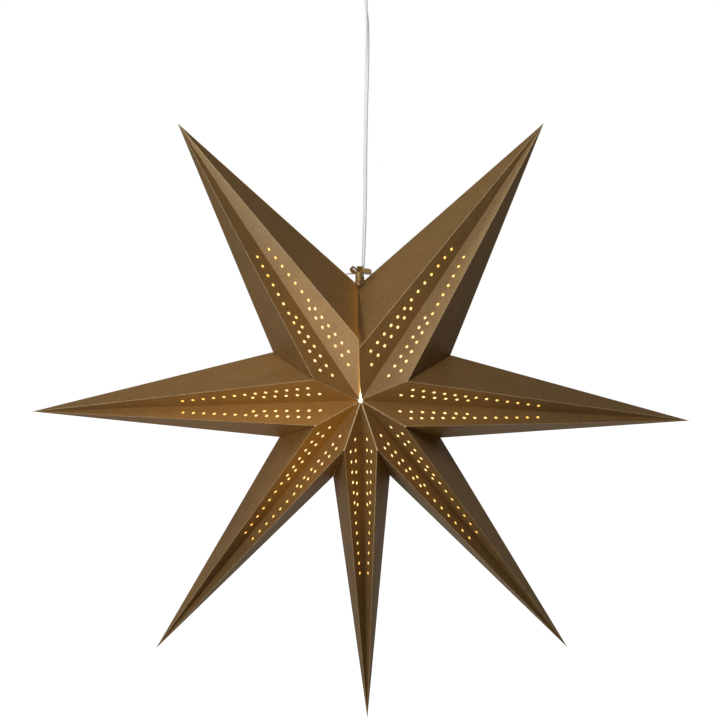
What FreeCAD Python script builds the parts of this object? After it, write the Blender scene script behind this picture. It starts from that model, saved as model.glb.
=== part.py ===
import FreeCAD, Part
import math
import os

from FreeCAD import Vector

# Seven-pointed folded card star lantern, hung by its flex from a ceiling cup.
# Millimetres. +X is the viewer's right, +Z up, and the star's front looks along -Y.
# The origin is the middle of the ceiling plate's top face. The star is made in its own
# flat frame: a radius and an azimuth about its axis, and a depth in front of its mid plane.

# Star, hung height and card
STAR_DROP = 510.0            # ceiling to the star's middle
STAR_SHIFT = -4.6            # the star hangs a little to the left of the ceiling cup
CARD = 0.5                   # card thickness
CENTRE_DEPTH = 71.5          # from the mid plane to where the valley folds meet
BASE_FOLD = 108.3            # notch to ridge end, along the glued edge
INNER_FOLD = 61.6            # ridge end to the star's centre, along the glued edge
TAB_WIDTH = 9.0              # glue tab folded in along each base edge
SOLID_TIP = 18.0             # the last stretch of a point, folded too tight to be hollow

# Points, anticlockwise from the open joint at the top:
# name, share of the turn, lean of the tip in degrees, reach to the tip, radius of the
# notch where the point starts
POINTS = (
    ("point_upper_left", 62.5, 1.25, 373.0, 125.5),
    ("point_left", 53.4, 2.3, 377.0, 112.1),
    ("point_lower_left", 43.8, 1.9, 376.4, 105.4),
    ("point_bottom", 38.5, 0.75, 374.1, 99.1),
    ("point_lower_right", 42.1, -1.45, 375.7, 98.3),
    ("point_right", 52.6, -2.4, 376.3, 103.3),
    ("point_upper_right", 67.1, -1.55, 372.6, 111.9),
)

# Open joint between the first and the last point
JOINT_AZIMUTH = 91.4
JOINT_CLEARANCE = 0.3        # between the two loose edges at the notch
JOINT_SLIP = 11.5            # how far the first point's edge has slid out along the joint
SLIT_WIDTH = 4.4             # where the two edges stand apart at the centre
SLIT_LENGTH = 28.0
CENTRE_OPENING = 6.0         # left between the seven valley ends

# Punched holes, in the flat strip: along the valley fold from the tip, and off the fold
HOLE_WIDTH = 3.8             # of the round punch
HOLE_SIDES = 4               # sides of the outline that stands for the round, same area
TURNED_SIDES = 16            # flats round each small turned or moulded piece
CUP_SIDES = 24               # flats round the ceiling cup, its plate and its gland
OUTER_ROW = {"start": 180.5, "off": 10.6, "pitch": 12.4, "angle": 6.0, "count": 13}
INNER_ROW = {"start": 262.4, "off": 12.3, "pitch": 12.9, "angle": 1.9, "count": 7}

# Lamp: globe bulb on a small screw cap, hung cap up with its globe at the star's middle
GLOBE_RADIUS = 22.5
BULB_NECK_RADIUS = 9.5
BULB_CAP_RADIUS = 6.9
BULB_CAP_LENGTH = 20.0
BULB_LENGTH = 76.0
GLOBE_BANDS = 7              # from the globe's lowest point to its neck
HOLDER_RADIUS = 14.5
HOLDER_LENGTH = 44.0
HOLDER_WALL = 2.2
HOLDER_OVERLAP = 3.0         # how far the holder's rim comes down past the cap's lower end
DOME_HEIGHT = 13.0
GRIP_RADIUS = 5.6
GRIP_LENGTH = 9.0
THREAD_SHELL_WALL = 0.4
THREAD_CLEARANCE = 0.15
CONTACT_RADIUS = 3.0
CONTACT_HEIGHT = 2.0
INSERT_HEIGHT = 8.0

# Flex
CORD_DIAMETER = 4.8          # the wide way of a flat twin flex
CORD_CLEARANCE = 0.3
CORD_SIDES = 8
CORD_HOLE = 9.0              # cut in the two loose corners at the notch
# Route about the star's axis, from the lamp up: right, back, up
CORD_ROUTE = (
    (0.0, 0.0, 84.0),
    (0.1, 0.1, 112.0),
    (2.1, -0.1, 145.0),
    (4.2, 0.2, 205.0),
    (4.6, -0.2, 262.0),
    (5.3, 0.3, 318.0),
    (6.8, -0.1, 375.0),
    (7.2, 0.2, 422.0),
    (4.6, 0.0, 454.0),
    (4.6, 0.0, 478.0),
)

# Ribbon that closes the open joint round the flex
RIBBON_WIDTH = 6.0
RIBBON_THICKNESS = 0.6
KNOT_RADIUS = 4.5
KNOT_HEIGHT = 9.5
KNOT_LIFT = 3.0              # bottom of the knot above the notch
KNOT_CENTRE = (-2.0, -6.4)   # right of the star's axis, and behind its mid plane
# loops of the bow: right of the axis, above the notch, half length, half height, tilt
BOW_LOOPS = ((-8.0, 16.6, 4.8, 3.0, 40.0), (5.6, 15.0, 6.4, 2.7, -12.0))
LOOP_SIDES = 12
TAIL_LENGTH = 16.0

# Ceiling cup
PLATE_CLEARANCE = 0.3        # round the plate, inside the cup's rim
PLATE_THICKNESS = 2.5
PLATE_HOLE_RADIUS = 2.1
PLATE_HOLE_SPACING = 40.0
CUP_RADIUS = 33.0
CUP_NECK_RADIUS = 11.0
CUP_HEIGHT = 34.0
CUP_WALL = 1.8
GLAND_RADIUS = 6.5
GLAND_LENGTH = 8.0
GLAND_FLANGE_RADIUS = 9.0
GLAND_FLANGE = 1.6

EXTRA = 2.0                  # cutting tools run past the faces that they cut

STAR = Vector(STAR_SHIFT, 0, -STAR_DROP)
FRONT = Vector(0, -1, 0)
Z_AXIS = Vector(0, 0, 1)


def at_star(radius, azimuth, depth):
    """Place at a radius and azimuth about the star's axis, at a depth to the front."""
    angle = math.radians(azimuth)
    return STAR + Vector(radius * math.cos(angle), -depth, radius * math.sin(angle))


def mirrored(place):
    """The same place on the back half of the star."""
    return Vector(place.x, 2 * STAR.y - place.y, place.z)


def plane_through(a, b, c, inside):
    """Plane through three places, as its outward unit normal and its distance."""
    normal = (b - a).cross(c - a)
    normal.normalize()
    if normal.dot(inside - a) > 0:
        normal = normal * -1
    return normal, normal.dot(a)


def inset(plane, distance):
    """The same plane moved inwards."""
    return plane[0], plane[1] - distance


def mirrored_plane(plane):
    """The same plane on the back half of the star, whose mid plane holds y = 0."""
    normal, distance = plane
    return Vector(normal.x, -normal.y, normal.z), distance


def meeting(first, second, third):
    """Place where three planes meet."""
    (n1, d1), (n2, d2), (n3, d3) = first, second, third
    across = n2.cross(n3)
    return (across * d1 + n3.cross(n1) * d2 + n1.cross(n2) * d3) / n1.dot(across)


def solid_from_faces(outlines):
    """Closed solid from flat faces, each given by its corners in order."""
    faces = [Part.Face(Part.makePolygon(list(outline) + [outline[0]])) for outline in outlines]
    shell = Part.Compound(faces)
    shell.sewShape()
    solid = Part.makeSolid(shell.Shells[0])
    if solid.Volume < 0:
        solid.reverse()
    return solid


def prism(corners, along):
    """A flat outline pushed along a vector."""
    return Part.Face(Part.makePolygon(list(corners) + [corners[0]])).extrude(along)


def polygon(middle, along, radius, sides):
    """Corners of a regular outline square to a direction, at a radius about a place."""
    along = along * (1 / along.Length)
    across = FRONT.cross(along)
    across.normalize()
    other = along.cross(across)
    turns = [2 * math.pi * side / sides for side in range(sides)]
    return [middle + across * (radius * math.cos(turn)) + other * (radius * math.sin(turn))
            for turn in turns]


def ridge_end(notch_radius, inner_fold):
    """Radius and depth of a ridge's end, where its two base folds meet.

    The base fold runs to it from the notch, and the inner fold from the centre.
    """
    gap = math.hypot(notch_radius, CENTRE_DEPTH)
    along = (BASE_FOLD ** 2 - inner_fold ** 2 + gap ** 2) / (2 * gap)
    off = math.sqrt(BASE_FOLD ** 2 - along ** 2)
    ux, uy = -notch_radius / gap, CENTRE_DEPTH / gap
    return notch_radius + along * ux + off * uy, along * uy - off * ux


class Seam:
    """A radial plane where two points are glued edge to edge, seen from one of them."""

    def __init__(self, azimuth, notch_radius, inner_fold=INNER_FOLD):
        self.azimuth = azimuth
        self.notch_radius = notch_radius
        self.ridge_radius, self.ridge_depth = ridge_end(notch_radius, inner_fold)
        self.notch = at_star(notch_radius, azimuth, 0)
        self.ridge = at_star(self.ridge_radius, azimuth, self.ridge_depth)

    def window(self, thickness):
        """Prism that opens the seam plane inside the glue tabs, past the axis too."""
        notch, ridge = (self.notch_radius, 0.0), (self.ridge_radius, self.ridge_depth)
        centre = (0.0, CENTRE_DEPTH)
        outer = self.offset_line(notch, ridge)
        inner = self.offset_line(ridge, centre)
        past_axis = -TAB_WIDTH
        top = self.crossing(outer, (0.0, 0.0, 1.0))
        corner = self.crossing(outer, inner)
        low = self.crossing(inner, (1.0, past_axis, 0.0))
        front = [top, corner, low]
        outline = front + [(radius, -depth) for radius, depth in reversed(front[1:])]
        across = at_star(1, self.azimuth + 90, 0) - STAR
        corners = [at_star(r, self.azimuth, d) - across * thickness for r, d in outline]
        return prism(corners, across * (2 * thickness))

    @staticmethod
    def offset_line(start, end):
        """Line through two places, moved in by a tab, as (a, c, b) with a r + b d = c."""
        length = math.hypot(end[0] - start[0], end[1] - start[1])
        a, b = (end[1] - start[1]) / length, -(end[0] - start[0]) / length
        return a, a * start[0] + b * start[1] - TAB_WIDTH, b

    @staticmethod
    def crossing(first, second):
        """Radius and depth where two such lines cross."""
        (a1, c1, b1), (a2, c2, b2) = first, second
        det = a1 * b2 - a2 * b1
        return (c1 * b2 - c2 * b1) / det, (a1 * c2 - a2 * c1) / det


class Half:
    """One half of a point, between its middle fold and one seam."""

    def __init__(self, tip, seam, inside):
        self.tip, self.seam = tip, seam
        self.centre = at_star(0, 0, CENTRE_DEPTH)
        self.side = plane_through(tip, seam.notch, seam.ridge, inside)
        self.strip = plane_through(tip, seam.ridge, self.centre, inside)
        self.wall = plane_through(seam.notch, seam.ridge, STAR, inside)

    def outlines(self):
        """Outer faces of this half, front, back and seam."""
        tip, centre, notch, ridge = self.tip, self.centre, self.seam.notch, self.seam.ridge
        back_ridge, back_centre = mirrored(ridge), mirrored(centre)
        return [(tip, notch, ridge), (tip, ridge, centre),
                (tip, notch, back_ridge), (tip, back_ridge, back_centre),
                (notch, ridge, centre, back_centre, back_ridge)]

    def cavity(self, middle, end):
        """Convex hollow of this half, a card thickness inside every outer face."""
        side, strip, wall = (inset(plane, CARD) for plane in (self.side, self.strip, self.wall))
        back_side, back_strip = mirrored_plane(side), mirrored_plane(strip)
        rings = []
        for last in (wall, end):
            rings.append([meeting(side, back_side, last), meeting(side, strip, last),
                          meeting(strip, middle, last), meeting(back_strip, middle, last),
                          meeting(back_side, back_strip, last)])
        near, far = rings
        around = range(len(near))
        return solid_from_faces([near, far] + [
            (near[i], near[i - 1], far[i - 1], far[i]) for i in around])

    def holes(self):
        """Prisms of the punched holes through the front strip and the back one."""
        along = self.centre - self.tip
        along.normalize()
        normal = self.strip[0]
        across = normal.cross(along)
        if across.dot(self.seam.ridge - self.tip) < 0:
            across = across * -1
        equal_area = math.sqrt(2 * math.pi / (HOLE_SIDES * math.sin(2 * math.pi / HOLE_SIDES)))
        radius = HOLE_WIDTH / 2 * equal_area
        prisms = []
        for row in (OUTER_ROW, INNER_ROW):
            slope = math.radians(row["angle"])
            for index in range(row["count"]):
                step = row["pitch"] * index
                middle = (self.tip + along * (row["start"] + step * math.cos(slope))
                          + across * (row["off"] + step * math.sin(slope)) + normal * EXTRA)
                corners = polygon(middle, normal, radius, HOLE_SIDES)
                push = normal * -(CARD + 2 * EXTRA)
                prisms.append(prism(corners, push))
                prisms.append(prism([mirrored(c) for c in corners], mirrored(push)))
        return prisms


def folded_point(reach, azimuth, start_seam, end_seam, extra_cuts):
    """One hollow point of the star, folded from a single card and open at its base."""
    tip = at_star(reach, azimuth, 0)
    inside = at_star(reach / 4, azimuth, 0)
    halves = [Half(tip, seam, inside) for seam in (start_seam, end_seam)]
    card = solid_from_faces(halves[0].outlines() + halves[1].outlines())

    # the hollow's own middle plane holds the valley's inner edge, front and back
    first, second = (inset(half.strip, CARD) for half in halves)
    fold = first[0].cross(second[0])
    across = Vector(fold.z, 0, -fold.x)
    across.normalize()
    on_fold = meeting(first, second, (fold, fold.dot(inside)))
    middle = (across, across.dot(on_fold))
    outward = at_star(1, azimuth, 0) - STAR
    end = (outward, outward.dot(tip) - SOLID_TIP)

    cuts = [half.cavity(middle, end) for half in halves]
    cuts += [seam.window(CARD + EXTRA / 4) for seam in (start_seam, end_seam)]
    cuts.append(Part.makeCylinder(CENTRE_OPENING / 2, 2 * CENTRE_DEPTH + 2 * BASE_FOLD,
                                  STAR + FRONT * (CENTRE_DEPTH + BASE_FOLD), FRONT * -1))
    hollow = card.cut(cuts + extra_cuts)
    punched = hollow.cut([hole for half in halves for hole in half.holes()])
    return punched.Solids[0]


def flex_at(height):
    """Place on the flex's route at a height above the star's middle."""
    for low, high in zip(CORD_ROUTE, CORD_ROUTE[1:]):
        if height <= high[2] or high is CORD_ROUTE[-1]:
            share = (height - low[2]) / (high[2] - low[2])
            return STAR + Vector(*low) + (Vector(*high) - Vector(*low)) * share


def open_joint_cuts():
    """What is cut from the two loose edges: the slit at the centre and the flex's hole."""
    up = at_star(1, JOINT_AZIMUTH, 0) - STAR
    across = up.cross(FRONT)
    deep = CENTRE_DEPTH + BASE_FOLD
    base = STAR + FRONT * deep
    slit = prism([base - up * SLIT_WIDTH - across * (SLIT_WIDTH / 2),
                  base - up * SLIT_WIDTH + across * (SLIT_WIDTH / 2),
                  base + across * (SLIT_WIDTH / 2),
                  base + up * SLIT_LENGTH,
                  base - across * (SLIT_WIDTH / 2)], FRONT * (-2 * deep))
    beside_notch = flex_at(POINTS[0][4])
    low = beside_notch - Z_AXIS * (2 * TAB_WIDTH)
    return [slit, Part.makeCylinder(CORD_HOLE / 2, 4 * TAB_WIDTH, low, Z_AXIS)]


def star_points():
    """All the points, each between its two seams."""
    turn = sum(point[1] for point in POINTS)
    gap = math.degrees(JOINT_CLEARANCE / POINTS[0][4])
    azimuth = JOINT_AZIMUTH + gap / 2
    nodes = {}
    for index, (name, share, lean, reach, notch) in enumerate(POINTS):
        width = (360.0 - gap) * share / turn
        next_notch = POINTS[(index + 1) % len(POINTS)][4]
        first = index == 0
        last = index == len(POINTS) - 1
        start_fold = INNER_FOLD + JOINT_SLIP if first else INNER_FOLD
        start_seam = Seam(azimuth, notch, start_fold)
        end_seam = Seam(azimuth + width, next_notch)
        cuts = open_joint_cuts() if first or last else []
        middle = azimuth + width / 2
        nodes[name] = folded_point(reach, middle + lean, start_seam, end_seam, cuts)
        azimuth += width
    return nodes


def turned(profile, base, sides=TURNED_SIDES):
    """Many-sided solid turned about an upright axis, from (radius, height) corners."""
    turns = [2 * math.pi * side / sides for side in range(sides)]
    rings = [[base + Vector(radius * math.cos(turn), radius * math.sin(turn), height)
              for turn in turns] for radius, height in profile]
    outlines = []
    for index, ring in enumerate(rings):
        before = rings[index - 1]
        on_axis = profile[index][0] == 0
        before_on_axis = profile[index - 1][0] == 0
        for side in range(sides):
            if on_axis and before_on_axis:
                continue
            outline = [ring[side]] if on_axis else [ring[side - 1], ring[side]]
            outline += [before[side]] if before_on_axis else [before[side], before[side - 1]]
            outlines.append(outline)
    return solid_from_faces(outlines).removeSplitter()


def bulb():
    """Globe bulb, cap up: a ball that runs into its neck, and the screw cap."""
    cap_low = BULB_LENGTH - GLOBE_RADIUS - BULB_CAP_LENGTH
    cap_top = cap_low + BULB_CAP_LENGTH
    neck_turn = math.pi - math.asin(BULB_NECK_RADIUS / GLOBE_RADIUS)
    globe = [(0.0, -GLOBE_RADIUS)]
    for band in range(1, GLOBE_BANDS + 1):
        turn = neck_turn * band / GLOBE_BANDS
        globe.append((GLOBE_RADIUS * math.sin(turn), -GLOBE_RADIUS * math.cos(turn)))
    return turned(globe + [(BULB_NECK_RADIUS, cap_low), (BULB_CAP_RADIUS, cap_low),
                           (BULB_CAP_RADIUS, cap_top), (0.0, cap_top)], STAR)


def lamp_holder():
    """Holder sleeve, dome, contact insert, thread shell and flex grip, seated in turn."""
    cap_low = BULB_LENGTH - GLOBE_RADIUS - BULB_CAP_LENGTH
    cap_top = cap_low + BULB_CAP_LENGTH
    low = cap_low - HOLDER_OVERLAP
    high = low + HOLDER_LENGTH
    inner = HOLDER_RADIUS - HOLDER_WALL
    insert_low = cap_top + CONTACT_HEIGHT
    insert_high = insert_low + INSERT_HEIGHT
    shell_inner = BULB_CAP_RADIUS + THREAD_CLEARANCE
    shell_outer = shell_inner + THREAD_SHELL_WALL
    cord_bore = CORD_DIAMETER / 2 + CORD_CLEARANCE
    ledge = cap_low + BULB_CAP_LENGTH / 2
    sleeve = turned([(inner, low), (HOLDER_RADIUS, low), (HOLDER_RADIUS, high), (inner, high),
                     (inner, insert_high), (shell_outer, insert_high), (shell_outer, ledge),
                     (inner, ledge)], STAR)
    insert = turned([(0, insert_low), (shell_outer, insert_low), (shell_outer, insert_high),
                     (0, insert_high)], STAR)
    shell = turned([(shell_inner, cap_low + HOLDER_OVERLAP), (shell_outer, cap_low + HOLDER_OVERLAP),
                    (shell_outer, insert_low), (shell_inner, insert_low)], STAR)
    contact = turned([(0, cap_top), (CONTACT_RADIUS, cap_top), (CONTACT_RADIUS, insert_low),
                      (0, insert_low)], STAR)
    dome_top = high + DOME_HEIGHT
    dome = turned([(cord_bore, dome_top), (GRIP_RADIUS, dome_top),
                   (HOLDER_RADIUS * 0.75, high + DOME_HEIGHT * 0.7),
                   (HOLDER_RADIUS, high), (inner, high),
                   (inner * 0.72, high + DOME_HEIGHT * 0.55),
                   (cord_bore, dome_top - HOLDER_WALL)], STAR)
    grip = turned([(cord_bore, dome_top), (GRIP_RADIUS, dome_top),
                   (GRIP_RADIUS * 0.8, dome_top + GRIP_LENGTH),
                   (cord_bore, dome_top + GRIP_LENGTH)], STAR)
    return {"holder_sleeve": sleeve, "contact_insert": insert, "thread_shell": shell,
            "centre_contact": contact, "holder_dome": dome, "flex_grip": grip}


def cord():
    """Flex from the lamp to the ceiling: straight runs and the largest tangent arcs."""
    route = [STAR + Vector(*place) for place in CORD_ROUTE]
    edges = []
    start = route[0]
    for before, corner, after in zip(route, route[1:], route[2:]):
        to_before, to_after = before - corner, after - corner
        run = min(to_before.Length, to_after.Length)
        half_turn = (math.pi - to_before.getAngle(to_after)) / 2
        to_before.normalize()
        to_after.normalize()
        reach = 0.45 * run
        radius = reach / math.tan(half_turn)
        bisector = to_before + to_after
        bisector.normalize()
        middle = corner + bisector * (radius / math.cos(half_turn) - radius)
        arc_start, arc_end = corner + to_before * reach, corner + to_after * reach
        edges.append(Part.LineSegment(start, arc_start).toShape())
        edges.append(Part.Arc(arc_start, middle, arc_end).toShape())
        start = arc_end
        print("flex radius %.0f, turn %.1f degrees" % (radius, math.degrees(2 * half_turn)))
    edges.append(Part.LineSegment(start, route[-1]).toShape())
    path = Part.Wire(edges)
    corners = polygon(route[0], route[1] - route[0], CORD_DIAMETER / 2, CORD_SIDES)
    section = Part.makePolygon(corners + [corners[0]])
    tube = path.makePipeShell([section], True, False)
    area = Part.Face(section).Area
    print("flex length %.1f, volume %.1f, section times length %.1f"
          % (path.Length, tube.Volume, area * path.Length))
    return tube


def bow_loop(right, up, half_length, half_height, tilt, depth):
    """Flattened loop of ribbon, seen edge on, at a place about the notch."""
    middle = STAR + Vector(right, depth - RIBBON_WIDTH / 2, POINTS[0][4] + up)
    turns = [2 * math.pi * side / LOOP_SIDES for side in range(LOOP_SIDES)]
    bands = []
    for inwards in (0.0, RIBBON_THICKNESS):
        long_half, high_half = half_length - inwards, half_height - inwards
        bands.append(prism([Vector(long_half * math.cos(turn), 0, high_half * math.sin(turn))
                            for turn in turns], Vector(0, RIBBON_WIDTH, 0)))
    band = bands[0].cut(bands[1])
    band.rotate(Vector(0, 0, 0), Vector(0, 1, 0), -tilt)
    band.translate(middle)
    return band


def ribbon():
    """Ribbon round the flex at the notch, knotted in front, with its bow and tail."""
    notch_height = POINTS[0][4]
    right, back = KNOT_CENTRE
    low = notch_height + KNOT_LIFT
    knot_base = STAR + Vector(right, back, low)
    waist = KNOT_RADIUS * 0.8
    knot = turned([(0, 0), (waist, 0), (KNOT_RADIUS, KNOT_HEIGHT / 3),
                   (KNOT_RADIUS, KNOT_HEIGHT * 2 / 3), (waist, KNOT_HEIGHT), (0, KNOT_HEIGHT)],
                  knot_base)
    bore = CORD_DIAMETER / 2 + CORD_CLEARANCE
    on_cord = flex_at(low)
    lean = flex_at(low + RIBBON_WIDTH) - on_cord
    lean.normalize()
    collar = prism(polygon(on_cord, lean, bore + 2 * RIBBON_THICKNESS, TURNED_SIDES),
                   lean * RIBBON_WIDTH)
    collar_bore = prism(polygon(on_cord - lean * EXTRA, lean, bore, TURNED_SIDES),
                        lean * (RIBBON_WIDTH + 2 * EXTRA))
    loops = [bow_loop(*loop, back) for loop in BOW_LOOPS]
    stub = Part.makeBox(RIBBON_WIDTH, 3 * RIBBON_THICKNESS, KNOT_HEIGHT,
                        knot_base + Vector(-RIBBON_WIDTH / 2, -1.5 * RIBBON_THICKNESS, KNOT_HEIGHT))
    tail = Part.makeBox(TAIL_LENGTH, RIBBON_WIDTH, RIBBON_THICKNESS,
                        knot_base + Vector(-TAIL_LENGTH, -RIBBON_WIDTH / 2, KNOT_HEIGHT))
    body = knot.fuse([collar, stub, tail] + loops)
    return body.cut(collar_bore).removeSplitter().Solids[0]


def ceiling_parts():
    """Plate on the ceiling, the cup that hides the joint, and its flex gland."""
    origin = Vector(0, 0, 0)
    plate_radius = CUP_RADIUS - CUP_WALL - PLATE_CLEARANCE
    plate = turned([(0, 0), (plate_radius, 0), (plate_radius, -PLATE_THICKNESS),
                    (0, -PLATE_THICKNESS)], origin, CUP_SIDES)
    screw_holes = [Part.makeCylinder(PLATE_HOLE_RADIUS, PLATE_THICKNESS + 2 * EXTRA,
                                     Vector(side * PLATE_HOLE_SPACING / 2, 0, -PLATE_THICKNESS - EXTRA))
                   for side in (-1, 1)]
    plate = plate.cut(screw_holes)
    bore = CORD_DIAMETER / 2 + CORD_CLEARANCE
    bottom = -CUP_HEIGHT
    cup = turned([(CUP_RADIUS, 0), (CUP_RADIUS, -CUP_HEIGHT * 0.35),
                  (CUP_RADIUS * 0.78, -CUP_HEIGHT * 0.8), (CUP_NECK_RADIUS, bottom),
                  (GLAND_RADIUS, bottom), (GLAND_RADIUS, bottom + CUP_WALL),
                  (CUP_NECK_RADIUS - CUP_WALL / 2, bottom + CUP_WALL),
                  (CUP_RADIUS * 0.78 - CUP_WALL, -CUP_HEIGHT * 0.8 + CUP_WALL),
                  (CUP_RADIUS - CUP_WALL, -CUP_HEIGHT * 0.35), (CUP_RADIUS - CUP_WALL, 0)],
                 origin, CUP_SIDES)
    gland_low = bottom - GLAND_FLANGE - GLAND_LENGTH
    gland = turned([(bore, gland_low), (GLAND_RADIUS * 0.8, gland_low),
                    (GLAND_FLANGE_RADIUS, bottom - GLAND_FLANGE), (GLAND_FLANGE_RADIUS, bottom),
                    (GLAND_RADIUS, bottom), (GLAND_RADIUS, bottom + 2 * CUP_WALL),
                    (bore, bottom + 2 * CUP_WALL)], origin, CUP_SIDES)
    return {"ceiling_plate": plate, "ceiling_cup": cup, "cup_gland": gland}


def main():
    """Build every piece and write it to its own file."""
    os.makedirs("parts", exist_ok=True)
    nodes = star_points()
    nodes["bulb"] = bulb()
    nodes.update(lamp_holder())
    nodes["cord"] = cord()
    nodes["joint_ribbon"] = ribbon()
    nodes.update(ceiling_parts())
    for name, shape in nodes.items():
        print("%-20s solids %d, valid %s, volume %.0f"
              % (name, len(shape.Solids), shape.isValid(), shape.Volume))
        shape.exportStep("parts/%s.step" % name)


main()
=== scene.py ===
"""Dresses the folded card star lantern: its card points, lamp, flex, ribbon and ceiling cup."""
import logging
import math
from dataclasses import dataclass, field
from enum import Enum
from typing import Callable, Sequence

import bpy
import numpy as np
from bpy.types import Material, Node, NodeSocket, NodeTree, Object
from mathutils import Matrix, Vector
from mathutils.geometry import delaunay_2d_cdt


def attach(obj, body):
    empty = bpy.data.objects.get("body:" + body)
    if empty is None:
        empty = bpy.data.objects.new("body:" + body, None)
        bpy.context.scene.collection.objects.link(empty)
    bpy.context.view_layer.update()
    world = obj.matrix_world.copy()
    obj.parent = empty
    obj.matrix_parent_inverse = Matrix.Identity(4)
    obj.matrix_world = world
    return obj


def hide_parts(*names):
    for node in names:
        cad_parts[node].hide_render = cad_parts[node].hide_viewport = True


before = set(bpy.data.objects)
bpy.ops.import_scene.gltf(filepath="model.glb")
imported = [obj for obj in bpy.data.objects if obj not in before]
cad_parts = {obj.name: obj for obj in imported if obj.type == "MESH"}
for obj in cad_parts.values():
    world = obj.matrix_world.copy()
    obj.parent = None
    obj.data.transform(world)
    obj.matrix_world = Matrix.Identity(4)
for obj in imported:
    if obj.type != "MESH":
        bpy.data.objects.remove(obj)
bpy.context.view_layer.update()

log = logging.getLogger("star_lantern")
Array = np.ndarray

MM = 0.001
WHITE = (1.0, 1.0, 1.0, 1.0)
BLACK = (0.0, 0.0, 0.0, 1.0)
UP = np.array([0.0, 0.0, 1.0])
FRONT = np.array([0.0, -1.0, 0.0])
STAR_MIDDLE = np.array([-4.6, 0.0, -510.0]) * MM
FOLD_STEPS = np.array([-1.6, -1.0, -0.5, 0.0, 0.5, 1.0, 1.6])


class Slot(Enum):
    """The record's material slots."""

    CARD = "card"
    BULB = "bulb_glass"
    HOLDER = "holder_plastic"
    CONTACT = "contact_ceramic"
    BRASS = "brass"
    FLEX = "flex"
    RIBBON = "ribbon"
    CEILING = "ceiling_plastic"


class LooseEdge(Enum):
    """Which edge of a card point is left unglued at the open joint."""

    NONE = "none"
    START = "start"
    END = "end"


def unit(vectors: Array) -> Array:
    """Vectors at length one, along the last axis."""
    return vectors / np.maximum(np.linalg.norm(vectors, axis=-1, keepdims=True), 1e-12)


def nearest(places: Array, centres: Array) -> Array:
    """Distance from each place to the nearest of some centres."""
    return np.linalg.norm(places[:, None] - centres[None], axis=2).min(axis=1)


def quadratic(t: Array, first: Array, middle: Array, last: Array) -> Array:
    """The curve (1-t)^2 A + 2t(1-t) B + t^2 C, from A towards B and on to C."""
    return (1 - t) ** 2 * first + 2 * t * (1 - t) * middle + t ** 2 * last


def smooth_step(values: Array, low: float, high: float) -> Array:
    """Zero below low, one above high, and 3t^2 - 2t^3 between them."""
    share = np.clip((values - low) / (high - low), 0.0, 1.0)
    return share * share * (3 - 2 * share)


# Meshes


@dataclass
class Surface:
    """Points, faces and per-point values that make one mesh.

    A face is a row of point numbers, and a triangle repeats none of them.
    """

    points: Array
    faces: list[Array]
    face_slots: list[int]
    masks: dict[str, Array] = field(default_factory=dict)
    flat: Array | None = None

    def to_object(self, name: str, materials: Sequence[Material],
                  sharp_angle: float = 40.0) -> Object:
        """Puts the arrays into a mesh object at the origin.

        Args:
            name: The piece's name.
            materials: One for each number in face_slots.
            sharp_angle: Edges that turn more than this many degrees stay crisp.

        Returns:
            The new object, riding on the lantern's one body.
        """
        mesh = bpy.data.meshes.new(name)
        corners = np.concatenate([block.ravel() for block in self.faces])
        sizes = np.concatenate([np.full(len(block), block.shape[1]) for block in self.faces])
        mesh.vertices.add(len(self.points))
        mesh.vertices.foreach_set("co", np.ascontiguousarray(self.points, np.float32).ravel())
        mesh.loops.add(len(corners))
        mesh.loops.foreach_set("vertex_index", corners.astype(np.int32))
        mesh.polygons.add(len(sizes))
        starts = np.concatenate([[0], np.cumsum(sizes)[:-1]])
        mesh.polygons.foreach_set("loop_start", starts.astype(np.int32))
        slots = np.concatenate([np.full(len(block), slot)
                                for block, slot in zip(self.faces, self.face_slots)])
        mesh.polygons.foreach_set("material_index", slots.astype(np.int32))
        for label, values in self.masks.items():
            attribute = mesh.attributes.new(label, "FLOAT", "POINT")
            attribute.data.foreach_set("value", np.ascontiguousarray(values, np.float32))
        if self.flat is not None:
            layer = mesh.uv_layers.new(name="flat")
            layer.data.foreach_set("uv", self.flat[corners].astype(np.float32).ravel())
        mesh.update(calc_edges=True)
        mesh.validate()
        mesh.shade_smooth()
        mesh.set_sharp_from_angle(angle=math.radians(sharp_angle))
        for material in materials:
            mesh.materials.append(material)
        piece = bpy.data.objects.new(name, mesh)
        bpy.context.scene.collection.objects.link(piece)
        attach(piece, "root")
        log.info("%s: %d faces", name, len(sizes))
        return piece


def grid_faces(rows: int, columns: int, closed_rows: bool = False,
               closed_columns: bool = False) -> Array:
    """Quads over a grid of points numbered row by row.

    Args:
        rows: Points along the first parameter.
        columns: Points along the second parameter.
        closed_rows: The last row joins the first.
        closed_columns: The last column joins the first.

    Returns:
        Four point numbers for each quad.
    """
    row = np.arange(rows if closed_rows else rows - 1)[:, None]
    column = np.arange(columns if closed_columns else columns - 1)[None, :]
    next_row, next_column = (row + 1) % rows, (column + 1) % columns
    quads = np.stack([row * columns + column, row * columns + next_column,
                      next_row * columns + next_column, next_row * columns + column], axis=-1)
    return quads.reshape(-1, 4)


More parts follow.
